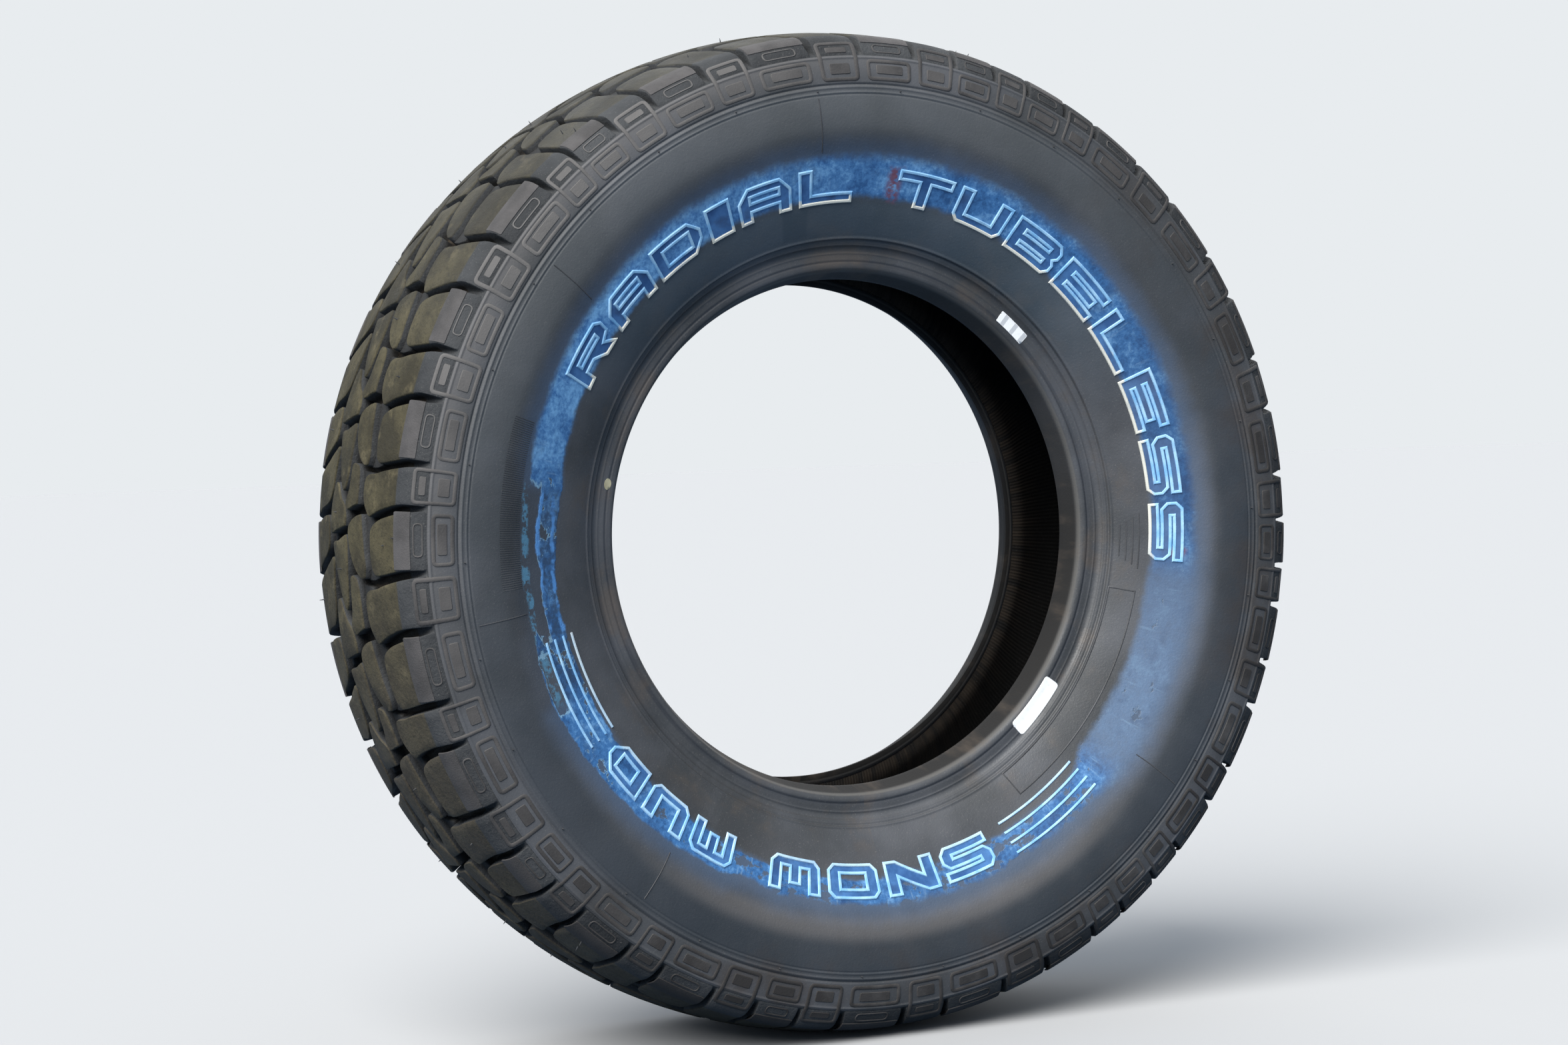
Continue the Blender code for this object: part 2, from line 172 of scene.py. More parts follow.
# ---------------------------------------------------------------- mesh helpers
class Shell:
    """Vertices and faces of one piece, gathered from many closed bits."""

    def __init__(self):
        self.vertices = []
        self.faces = []
        self.count = 0

    def add(self, points):
        start = self.count
        self.vertices.append(points.reshape(-1, 3))
        self.count += len(self.vertices[-1])
        return start

    def bridge(self, low, high, count, closed=True):
        """Four-sided faces between two rows of points."""
        for index in range(count if closed else count - 1):
            after = (index + 1) % count
            self.faces.append((low + index, low + after, high + after, high + index))

    def loft(self, rows, closed=True):
        """Join each row of points to the next and give where each row starts."""
        starts = [self.add(row) for row in rows]
        for low, high in zip(starts, starts[1:]):
            self.bridge(low, high, len(rows[0]), closed)
        return starts

    def cover(self, faces, start, back=False):
        """Faces over points that are already there."""
        for face in faces:
            corners = tuple(start + corner for corner in face)
            self.faces.append(corners[::-1] if back else corners)

    def make(self, name, material, slot, replaces=()):
        mesh = bpy.data.meshes.new(name)
        mesh.from_pydata((np.vstack(self.vertices) * MM).tolist(), [], self.faces)
        mesh.validate()
        whole = bmesh.new()
        whole.from_mesh(mesh)
        bmesh.ops.recalc_face_normals(whole, faces=whole.faces)
        whole.to_mesh(mesh)
        whole.free()
        mesh.materials.append(material)
        mesh.shade_smooth()
        mesh.set_sharp_from_angle(angle=SMOOTH_ANGLE)
        piece = bpy.data.objects.new(name, mesh)
        bpy.context.scene.collection.objects.link(piece)
        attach(piece, "root")
        if replaces:
            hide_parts(*replaces)


def turned(section):
    """A closed ring: a closed (y, r) section turned about the axis."""
    count = len(section)
    angles = np.arange(SEGMENTS) * 360.0 / SEGMENTS
    shell = Shell()
    shell.add(wheel_points(angles[:, None], section[None, :, 0], section[None, :, 1]))
    for segment in range(SEGMENTS):
        shell.bridge((segment + 1) % SEGMENTS * count, segment * count, count)
    return shell


def divided(path, closed, step):
    """A path with points added so that none are further apart than step."""
    path = [np.array(point, float) for point in path]
    result = []
    for here, there in zip(path, path[1:] + path[:1] if closed else path[1:]):
        parts = max(1, int(math.ceil(np.linalg.norm(there - here) / step)))
        result += [here + (there - here) * t for t in np.arange(parts) / parts]
    return np.array(result if closed else result + [path[-1]])


def sideways(path, closed):
    """Mitred side vectors of a flat path."""
    if closed:
        before = path - np.roll(path, 1, axis=0)
        after = np.roll(path, -1, axis=0) - path
    else:
        steps = np.diff(path, axis=0)
        before = np.vstack([steps[:1], steps])
        after = np.vstack([steps, steps[-1:]])
    before = before / np.linalg.norm(before, axis=1)[:, None]
    after = after / np.linalg.norm(after, axis=1)[:, None]
    scale = 1.0 + np.sum(before * after, axis=1)
    both = before + after
    return np.column_stack([both[:, 1], -both[:, 0]]) / np.maximum(scale, 0.45)[:, None]


def offset_outline(outline, distance):
    return outline + sideways(outline, True) * distance


def rounded(outline, radius, step=2.5, longest=9.0):
    """A closed outline with its corners rounded and its long sides divided."""
    outline = np.asarray(outline, float)
    result = []
    for index, corner in enumerate(outline):
        back = outline[index - 1] - corner
        ahead = outline[(index + 1) % len(outline)] - corner
        back_length, ahead_length = np.linalg.norm(back), np.linalg.norm(ahead)
        reach = min(radius, 0.45 * back_length, 0.45 * ahead_length)
        a = corner + back / back_length * reach
        b = corner + ahead / ahead_length * reach
        turn = abs(back[0] * ahead[1] - back[1] * ahead[0]) / (back_length * ahead_length)
        pieces = max(1, int(round(reach * turn * 1.6 / step)) + 1)
        for t in np.linspace(0.0, 1.0, pieces + 1):
            result.append(a * (1 - t) ** 2 + corner * 2.0 * t * (1 - t) + b * t**2)
    following = result[1:] + result[:1]
    apart = [here for here, there in zip(result, following) if np.linalg.norm(there - here) >= 1e-6]
    return divided(apart, True, longest)


def facing_up(outline):
    """A closed outline, turned round if it runs clockwise."""
    outline = np.asarray(outline, float)
    following = np.roll(outline, -1, axis=0)
    area = np.sum(outline[:, 0] * following[:, 1] - following[:, 0] * outline[:, 1])
    return outline[::-1] if area < 0.0 else outline


def inside(outline, points):
    """Which of the points lie inside a closed outline."""
    a = outline[:, None]
    b = np.roll(a, -1, axis=0)
    crossing = (a[..., 1] > points[:, 1]) != (b[..., 1] > points[:, 1])
    rise = np.where(crossing, b[..., 1] - a[..., 1], 1.0)
    x = a[..., 0] + (points[:, 1] - a[..., 1]) / rise * (b[..., 0] - a[..., 0])
    return np.count_nonzero(crossing & (points[:, 0] < x), axis=0) % 2 == 1


def inside_points(outline, spacing):
    """Grid points inside a closed outline, well clear of its edge."""
    spans = zip(outline.min(axis=0), outline.max(axis=0))
    grid = np.meshgrid(*[np.arange(low, high, spacing) for low, high in spans])
    points = np.stack(grid, -1).reshape(-1, 2) + spacing / 2.0
    points = points[inside(outline, points)]
    start = outline[:, None]
    along = np.roll(outline, -1, axis=0)[:, None] - start
    t = np.clip(np.sum((points - start) * along, axis=-1) / np.sum(along * along, axis=-1), 0.0, 1.0)
    gap = np.linalg.norm(start + along * t[..., None] - points, axis=-1).min(axis=0)
    return points[gap > spacing * 0.45]


def triangulated(loops, extra=()):
    """Triangles between closed loops: the loops' points, then the extra ones, and the faces."""
    edges = []
    start = 0
    for loop in loops:
        edges += [(start + index, start + (index + 1) % len(loop)) for index in range(len(loop))]
        start += len(loop)
    points = [Vector(point) for loop in (*loops, extra) for point in loop]
    found, _, faces, _, _, _ = delaunay_2d_cdt(points, edges, [], 1, 1e-5)
    return np.array([tuple(point) for point in found]), faces


def fill(outline, spacing):
    """Triangles over a closed outline: its points first, then the inner ones, and the faces."""
    found, faces = triangulated([outline], inside_points(outline, spacing))
    if not np.allclose(found[:len(outline)], outline, atol=1e-4):
        raise ValueError("an outline crosses itself")
    return found, faces


# ---------------------------------------------------------------- raised lines and plates
# Across a raised line: share of its width and share of its height.
LINE_SECTION = [(-0.5, -0.35), (-0.42, 0.55), (-0.24, 1.0), (0.24, 1.0), (0.42, 0.55), (0.5, -0.35)]


def add_stroke(shell, path, width, height, closed, place, step=6.0):
    """A raised line along a path of flat millimetres.  place turns (u, w, lift) into points."""
    path = divided(path, closed, step)
    side = sideways(path, closed)
    rows = []
    for across, up in LINE_SECTION:
        flat = path + side * (across * width)
        rows.append(place(flat[:, 0], flat[:, 1], height * up if up > 0.0 else up))
    starts = shell.loft(rows, closed)
    shell.bridge(starts[-1], starts[0], len(path), closed)
    if not closed:
        shell.faces.append(tuple(starts[::-1]))
        shell.faces.append(tuple(start + len(path) - 1 for start in starts))


def add_plate(shell, outline, height, chamfer, place, spacing=9.0, sunk=-0.35):
    """A raised plate with a chamfered edge over a closed outline of flat millimetres."""
    outline = facing_up(outline)
    flat, faces = fill(offset_outline(outline, -chamfer), spacing)
    low = place(outline[:, 0], outline[:, 1], sunk)
    start, top = shell.loft([low, place(flat[:, 0], flat[:, 1], height)])
    shell.cover(faces, top)
    shell.cover([range(len(outline))], start, back=True)


def side_place(side, middle_angle, middle_radius):
    """Flat (u, w) millimetres to a sidewall: u clockwise as its reader sees it, w outwards."""
    degrees = -side * math.degrees(1.0 / middle_radius)

    def place(u, w, lift):
        return on_outside(middle_angle + u * degrees, v_at(middle_radius + w) * side, lift)

    return place


# ---------------------------------------------------------------- the tread blocks
PITCHES = "MSMMMLLSSMMMLLMMSSSSMLLMLLLMSSMMLSMSSSMLLMLMSMMSMSSMLSLL"
PITCH_WIDTHS = ({"S": 5.2, "M": 6.8, "L": 7.8}, {"S": 5.4, "M": 6.3, "L": 7.0})
FIRST_GROOVE_ANGLE = 267.9
# The blocks are drawn on one wide and one narrow pitch, between these angles.
DRAWN_WIDE = 267.8
WIDE_SPAN = 6.6
PAIR_SPAN = 12.2
DRAWN_MM = CROWN_RADIUS * math.pi / 180.0
PAIRS = len(PITCHES) // 2


def groove_angles():
    """Where the shoulder grooves are, one turn of them."""
    widths = [PITCH_WIDTHS[index % 2][letter] for index, letter in enumerate(PITCHES)]
    return FIRST_GROOVE_ANGLE + np.concatenate([[0.0], np.cumsum(widths)]) * 360.0 / sum(widths)


GROOVES = groove_angles()


def laid(drawn, pair):
    """Drawn angles moved and stretched to one pair of pitches on the tire."""
    numbers = np.arange(2 * pair - 2, 2 * pair + 5)
    turns, index = np.divmod(numbers, 2 * PAIRS)
    knots = DRAWN_WIDE + (numbers // 2 - pair) * PAIR_SPAN + numbers % 2 * WIDE_SPAN
    return np.interp(drawn, knots, GROOVES[index] + 360.0 * turns)


# Each block is drawn as (angle, v) corners.
BLOCK_END = float(v_at(373.9))
MIDDLE_SHAPES = {
    "fan": [(267.5, -38.5), (267.45, -33), (268.0, -25), (269.2, -17), (270.7, -11.5), (272.2, -8.5),
            (273.0, -9.5), (273.6, -15), (274.05, -24), (274.25, -33), (272, -36), (270, -38.5),
            (268.6, -40.5)],
    "step": [(275.3, -25.5), (275.1, -18), (274.75, -10), (274.65, -5), (275.1, -1.5), (275.7, -1.5),
             (276.3, -5), (277.3, -8.5), (278.8, -9.8), (279.8, -10.5), (280.0, -14), (279.7, -22),
             (278.9, -25), (277.3, -26)],
    "wedge": [(276.8, 6), (277.3, 9.5), (278.6, 14.5), (280.2, 19.5), (281.8, 24), (283.1, 27.5),
              (283.5, 26), (283.6, 15), (284.0, 5), (284.3, -3), (283.6, -5.3), (281.2, -5.2),
              (279.2, -3.5), (277.6, -0.5), (276.9, 3)],
    "flag": [(272.95, -1.5), (272.75, 8), (272.5, 18), (272.2, 28), (272.1, 35), (272.8, 36.5),
             (274.6, 35.5), (276.2, 32), (277.3, 28), (277.9, 24), (277.6, 19), (276.6, 14.5), (275.8, 9),
             (275.4, 3), (274.9, -0.5), (274.0, -2.5)],
}
SHOULDER_SHAPES = {
    FRONT: {
        "wide": [(268.3, -BLOCK_END), (268.35, -96), (268.1, -82), (267.8, -66), (267.7, -58), (268.3, -53),
                 (269.8, -50.5), (271.5, -50), (272.6, -50.5), (273.2, -55), (273.75, -65), (274.15, -80),
                 (274.45, -96), (274.75, -BLOCK_END)],
        "narrow": [(275.35, -BLOCK_END), (275.4, -96), (275.2, -82), (275.0, -75), (274.7, -65),
                   (274.3, -55), (273.9, -48), (274.3, -44.5), (275.2, -39.5), (276.3, -37), (277.6, -37),
                   (278.5, -39.5), (278.75, -45), (278.8, -55), (279.1, -65), (279.4, -80), (279.65, -96),
                   (279.9, -BLOCK_END)],
    },
    BACK: {
        "wide": [(266.9, BLOCK_END), (267.5, 96), (268.3, 84), (269.0, 68), (269.6, 54), (270.2, 45),
                 (271.0, 41), (272.4, 41), (273.6, 43), (274.1, 48), (274.0, 60), (273.65, 75), (272.95, 96),
                 (272.8, BLOCK_END)],
        "narrow": [(273.3, BLOCK_END), (273.9, 96), (274.75, 75), (275.05, 58), (275.3, 48), (275.9, 40),
                   (277, 34.5), (279, 31.5), (280.6, 28.5), (281.5, 27.5), (281.9, 31), (281.5, 37),
                   (281.1, 45), (280.4, 57), (279.8, 72), (279.2, 87), (278.65, 96), (278.3, BLOCK_END)],
    },
}
# Low steps between the shoulder blocks and the middle ones.
STEP_SHAPES = {
    "front_wide": [(267.35, -36), (267.3, -45), (267.6, -55), (272.6, -55), (272.8, -48.5), (273.6, -46),
                   (274.6, -44), (274.5, -40), (274.3, -31)],
    "front_narrow": [(275.5, -40), (275.5, -23), (279.2, -23), (278.9, -41)],
    "back_wide": [(270.9, 46), (271.6, 33.5), (275.4, 33.0), (274.6, 46)],
    "back_narrow": [(279.6, 33), (279.5, 17), (280.9, 20), (281.7, 31)],
}
# Each row of a block's wall: outward offset and share of the depth.
WALL = [(2.2, -0.06), (1.3, 0.03), (0.7, 0.12), (0.35, 0.35), (0.1, 0.86), (-0.25, 0.965), (-0.8, 1.0)]


def add_blocks(shell, drawn, top, corner, spacing):
    """One block shape repeated all round the tire."""
    flat = facing_up([((angle - DRAWN_WIDE) * DRAWN_MM, v) for angle, v in drawn])
    outline = rounded(flat, corner, 2.0, 6.0)
    rows = [offset_outline(outline, away) for away, _ in WALL]
    rows[-1], faces = fill(rows[-1], spacing)
    for pair in range(PAIRS):
        starts = shell.loft([
            in_tread(laid(DRAWN_WIDE + row[:, 0] / DRAWN_MM, pair), row[:, 1], share * top)
            for row, (_, share) in zip(rows, WALL)
        ])
        shell.cover(faces, starts[-1])
        shell.cover([range(len(outline))], starts[0], back=True)


def groove_base():
    """The ring under the blocks, whose outside is the groove floor."""
    outer = np.vstack([FLOOR_CURVE[:0:-1] * (-1.0, 1.0), FLOOR_CURVE])
    inner = outer[::-1] * (0.985, 1.0) - (0.0, FLOOR_THICKNESS)
    return turned(np.vstack([outer, inner]))


# ---------------------------------------------------------------- the lettering, generic words only
WORDS = [("RADIAL", 297.0, 359.0), ("TUBELESS", 7.0, 97.4), ("SNOW", 159.0, 201.0), ("MUD", 208.0, 236.0)]
LINE_WIDTH = 2.8
LETTER_MIDDLE = 273.25
LETTER_HEIGHT = 27.5
LETTER_GAP = 1.3
FACE_HEIGHT = 0.2
STEM = 9.5
RUNG = 6.0
CUT = 4.5
EDGE_STEP = 5.0
FACE_BOTTOM = -0.3
BAR_RADIUS = 274.5
BAR_WIDTH = 2.2
BAR_HEIGHT = 0.8
BAR_ROWS = (12.6, 4.2, -4.2, -12.6)


def letter_shapes(letter, w, h):
    """Closed outlines of one blocky letter in a box w by h: its edge, then its windows."""
    b, s, c = min(STEM, w * 0.3), RUNG, CUT
    left, right = (w - b) / 2, (w + b) / 2
    low, middle, high = (h - s) / 2, h / 2, (h + s) / 2
    arm, foot, knee = 0.86 * w, 0.3 * h, 0.34 * h
    leg = 0.2 * w
    comb = [(0, 0), (leg, 0), (leg, h - s), (0.4 * w, h - s), (0.4 * w, 0.25 * h), (0.6 * w, 0.25 * h),
            (0.6 * w, h - s), (w - leg, h - s), (w - leg, 0), (w, 0), (w, h - c), (w - c, h), (c, h),
            (0, h - c)]

    def window(bottom, top):
        return [(b, bottom), (w - b, bottom), (w - b, top), (b, top)]

    return {
        "I": [[(0, 0), (w, 0), (w, h), (0, h)]],
        "L": [[(0, 0), (w, 0), (w, s), (b, s), (b, h), (0, h)]],
        "T": [[(left, 0), (right, 0), (right, h - s), (w, h - s), (w, h), (0, h), (0, h - s),
               (left, h - s)]],
        "E": [[(0, 0), (w, 0), (w, s), (b, s), (b, low), (arm, low), (arm, high), (b, high), (b, h - s),
               (w, h - s), (w, h), (0, h)]],
        "U": [[(c, 0), (w - c, 0), (w, c), (w, h), (w - b, h), (w - b, s), (b, s), (b, h), (0, h),
               (0, c)]],
        "D": [[(0, 0), (w - 2 * c, 0), (w, 2 * c), (w, h - 2 * c), (w - 2 * c, h), (0, h)],
              window(s, h - s)],
        "O": [[(c, 0), (w - c, 0), (w, c), (w, h - c), (w - c, h), (c, h), (0, h - c), (0, c)],
              window(s, h - s)],
        "B": [[(0, 0), (w - c, 0), (w, c), (w, middle - 3), (w - 3, middle), (w, middle + 3), (w, h - c),
               (w - c, h), (0, h)],
              window(s, low), window(high, h - s)],
        "A": [[(0, 0), (b, 0), (b, foot), (w - b, foot), (w - b, 0), (w, 0), (w, h - 2 * c),
               (w - 2 * c, h), (2 * c, h), (0, h - 2 * c)],
              window(foot + s, h - s)],
        "R": [[(0, 0), (b, 0), (b, knee), (0.46 * w, knee), (0.7 * w, 0), (w, 0), (0.8 * w, knee),
               (w, 0.5 * h), (w, h - c), (w - c, h), (0, h)],
              window(knee + s, h - s)],
        "S": [[(0, 0), (w - c, 0), (w, c), (w, high - c), (w - c, high), (b, high), (b, h - s), (w, h - s),
               (w, h), (c, h), (0, h - c), (0, low + c), (c, low), (w - b, low), (w - b, s), (0, s)]],
        "N": [[(0, 0), (b, 0), (b, 0.56 * h), (w - b, 0), (w, 0), (w, h), (w - b, h), (w - b, 0.44 * h),
               (b, h), (0, h)]],
        "M": [comb],
        "W": [[(x, h - y) for x, y in comb[::-1]]],
    }[letter]


def add_face(shell, outlines, height, place):
    """The low flat inside a letter's rim."""
    loops = [divided(outline, True, EDGE_STEP) for outline in outlines]
    flat, faces = triangulated(loops)
    middles = np.array([flat[list(face)].mean(axis=0) for face in faces])
    in_window = np.zeros(len(faces), bool)
    for window in loops[1:]:
        in_window |= inside(window, middles)
    kept = [tuple(face) for face, out in zip(faces, in_window) if not out]
    top, low = [shell.add(place(flat[:, 0], flat[:, 1], lift)) for lift in (height, FACE_BOTTOM)]
    shell.cover(kept, top)
    shell.cover(kept, low, back=True)
    edges = dict.fromkeys(edge for face in kept for edge in zip(face, face[1:] + face[:1]))
    for here, there in edges:
        if (there, here) not in edges:
            shell.faces.append((top + here, low + here, low + there, top + there))


def add_word(rims, faces, word, first, last, side, height):
    """A word between two angles, its base towards the wheel's middle."""
    shares = [0.48 if letter == "I" else 1.0 for letter in word]
    span = (abs(last - first) - LETTER_GAP * (len(word) - 1)) / sum(shares)
    h = LETTER_HEIGHT - LINE_WIDTH
    at = first
    for letter, share in zip(word, shares):
        angle = span * share
        w = math.radians(angle) * LETTER_MIDDLE - LINE_WIDTH
        place = side_place(side, at - side * angle / 2, LETTER_MIDDLE)
        paths = [[(x - w / 2, y - h / 2) for x, y in outline] for outline in letter_shapes(letter, w, h)]
        for path in paths:
            add_stroke(rims, path, LINE_WIDTH, height, True, place)
        add_face(faces, paths, FACE_HEIGHT, place)
        at -= side * (angle + LETTER_GAP)


def add_bars(shell, first, last):
    """Plain parallel bars of one length on the front."""
    half = math.radians(last - first) * BAR_RADIUS / 2
    place = side_place(FRONT, (first + last) / 2, BAR_RADIUS)
    for w in BAR_ROWS:
        add_stroke(shell, [(-half, w), (half, w)], BAR_WIDTH, BAR_HEIGHT, False, place)


# ---------------------------------------------------------------- materials
def linear(*screen):
    """Screen colour, 0 to 255, as the shader wants it."""
    parts = [part / 255.0 for part in screen]
    return tuple(p / 12.92 if p <= 0.04045 else ((p + 0.055) / 1.055) ** 2.4 for p in parts) + (1.0,)


def share_of_turn(degrees):
    """Degrees clockwise from the top as a share of a turn from the bottom."""
    return (degrees / 360.0 + 0.5) % 1.0


class Look:
    """A node material under construction, with the tire's own coordinates at hand.

    Colours are given as screen colours, 0 to 255.
    """

    def __init__(self, name, roughness, specular):
        self.material = bpy.data.materials.new(name)
        self.material.use_nodes = True
        self.tree = self.material.node_tree
        self.shader = self.tree.nodes["Principled BSDF"]
        self.shader.inputs["Roughness"].default_value = roughness
        self.shader.inputs["Specular IOR Level"].default_value = specular
        self.place = self.node("TexCoord").outputs["Object"]
        self.x, self.y, self.z = self.node("SeparateXYZ", (self.place,)).outputs
        self.bumps = None

    def put(self, socket, value):
        if isinstance(value, bpy.types.NodeSocket):
            self.tree.links.new(value, socket)
        else:
            socket.default_value = linear(*value) if isinstance(value, tuple) else value

    def node(self, kind, values=(), **settings):
        """A new node with its settings and the values of its first inputs."""
        node = self.tree.nodes.new("ShaderNode" + kind)
        for setting, value in settings.items():
            setattr(node, setting, value)
        for socket, value in zip(node.inputs, values):
            self.put(socket, value)
        return node

    def math(self, operation, *values):
        return self.node("Math", values, operation=operation).outputs[0]

    def times(self, first, *others):
        for other in others:
            first = self.math("MULTIPLY", first, other)
        return first

    def plus(self, first, second):
        return self.math("ADD", first, second)

    def minus(self, first, second):
        return self.math("SUBTRACT", first, second)

    def scaled(self, value, factor, offset):
        return self.math("MULTIPLY_ADD", value, factor, offset)

    @cached_property
    def radius(self):
        """Distance from the axis in millimetres."""
        squares = self.scaled(self.z, self.z, self.times(self.x, self.x))
        return self.times(self.math("SQRT", squares), 1.0 / MM)

    @cached_property
    def turn(self):
        """Share of a turn clockwise from the bottom, 0 to 1."""
        return self.scaled(self.math("ARCTAN2", self.x, self.z), 0.5 / math.pi, 0.5)

    @cached_property
    def upper_left(self):
        return self.minus(self.z, self.x)

    def noise(self, scale, detail=3.0, rough=0.55, place=None):
        node = self.node("TexNoise", (self.place if place is None else place,))
        for name, value in (("Scale", scale), ("Detail", detail), ("Roughness", rough)):
            self.put(node.inputs[name], value)
        return node.outputs["Fac"]

    def streaks(self, along, across, detail=4.0, rough=0.6):
        """Noise in coordinates that run along the circle and along the radius."""
        parts = self.times(self.turn, along), self.times(self.radius, across), self.times(self.y, 3.0)
        return self.noise(1.0, detail, rough, self.node("CombineXYZ", parts).outputs[0])

    def step(self, value, low, high, bottom=0.0, top=1.0):
        """A smooth step from bottom to top as value goes from low to high."""
        values = value, low, high, bottom, top
        return self.node("MapRange", values, interpolation_type="SMOOTHSTEP").outputs[0]

    def window(self, value, low, high, soft):
        rise = self.step(value, low - soft, low + soft)
        return self.times(rise, self.step(value, high - soft, high + soft, 1.0, 0.0))

    def sector(self, first, last, soft):
        """A window between two angles."""
        return self.window(self.turn, share_of_turn(first), share_of_turn(last), soft)

    def curve(self, knots, low, high):
        """A value between low and high that follows (degrees, value) knots round the circle."""
        shades = sorted((share_of_turn(degrees), (value - low) / (high - low)) for degrees, value in knots)
        node = self.node("ValToRGB", (self.turn,))
        elements = node.color_ramp.elements
        while len(elements) > 1:
            elements.remove(elements[-1])
        elements[0].position = 0.0
        for at, shade in [*shades, (1.0, shades[-1][1])]:
            elements.new(at).color = (shade, shade, shade, 1.0)
        elements[0].color = (shades[0][1], shades[0][1], shades[0][1], 1.0)
        return self.scaled(self.node("RGBToBW", (node.outputs[0],)).outputs[0], high - low, low)

    def mix(self, share, first, second):
        """A mix of two colours."""
        node = self.node("Mix", (share,), data_type="RGBA", clamp_factor=True)
        self.put(node.inputs[6], first)
        self.put(node.inputs[7], second)
        return node.outputs[2]

    def mix_value(self, share, first, second):
        node = self.node("Mix", (share,), clamp_factor=True)
        self.put(node.inputs[2], first)
        self.put(node.inputs[3], second)
        return node.outputs[0]

    def tint(self, colour, towards, *shares):
        """A colour mixed towards another by the product of some shares."""
        return self.mix(self.times(*shares), colour, towards)

    def bump(self, height, distance, strength):
        node = self.node("Bump")
        node.inputs["Distance"].default_value = distance
        node.inputs["Strength"].default_value = strength
        self.put(node.inputs["Height"], height)
        if self.bumps is not None:
            self.put(node.inputs["Normal"], self.bumps)
        self.bumps = node.outputs[0]

    def finish(self, colour, roughness=None):
        self.put(self.shader.inputs["Base Color"], colour)
        if roughness is not None:
            self.put(self.shader.inputs["Roughness"], roughness)
        if self.bumps is not None:
            self.put(self.shader.inputs["Normal"], self.bumps)
        return self.material


def rubber_colour(look, dark, pale):
    """Rubber with soft blotches, fine specks and dust streaks along the circle."""
    colour = look.mix(look.step(look.noise(9.0, 4.0), 0.35, 0.68), dark, pale)
    colour = look.tint(colour, pale, look.step(look.streaks(60.0, 0.02), 0.5, 0.75), 0.35)
    return look.tint(colour, (150, 146, 138), look.step(look.noise(900.0, 1.0), 0.66, 0.74), 0.16)


def tread_look(name):
    """Dusty tread: olive-tan dust on the worn tops, painted shade deepening down the blocks' sides, brown
    dirt on the groove floors.
    """
    look = Look(name, 0.78, 0.25)
    depth = look.minus(look.minus(CROWN_RADIUS, look.times(look.y, look.y, CROWN_ARC / MM**2)), look.radius)
    across = look.math("ABSOLUTE", look.times(look.y, 1.0 / MM))
    on_tread = look.step(across, TREAD_EDGE - 1.0, TREAD_EDGE + 1.5, 1.0, 0.0)
    dusty = look.mix(look.step(look.noise(24.0, 5.0, 0.6), 0.36, 0.66), (52, 48, 36), (77, 71, 52))
    dusty = look.tint(dusty, (106, 97, 73), look.step(look.noise(55.0), 0.55, 0.72), 0.5)
    dusty = look.tint(dusty, (72, 66, 59), look.step(look.z, 0.03, -0.2, 0.0, 0.6))
    dusty = look.tint(dusty, (46, 43, 34), look.step(look.noise(210.0, 4.0, 0.7), 0.5, 0.66), 0.5)
    bare = rubber_colour(look, (44, 45, 46), (66, 67, 68))
    # Painted shade: the blocks' sides darken with depth towards the groove floor.
    walls_with_painted_shade = look.tint(bare, (30, 28, 25), look.step(depth, 2.0, 9.0))
    top = look.step(depth, 0.7, 1.9, 1.0, 0.0)
    dust = look.times(top, on_tread, look.step(look.z, 0.1, 0.36, 1.0, 0.45))
    colour = look.mix(dust, look.mix(on_tread, bare, walls_with_painted_shade), dusty)
    colour = look.tint(colour, (52, 45, 36), look.step(depth, 9.5, 11.6), on_tread)
    look.bump(look.noise(420.0, 4.0, 0.7), 0.0008, 0.9)
    look.bump(look.noise(120.0, 4.0, 0.6), 0.0018, 0.5)
    return look.finish(colour, look.step(look.noise(30.0), 0.3, 0.7, 0.68, 0.9))


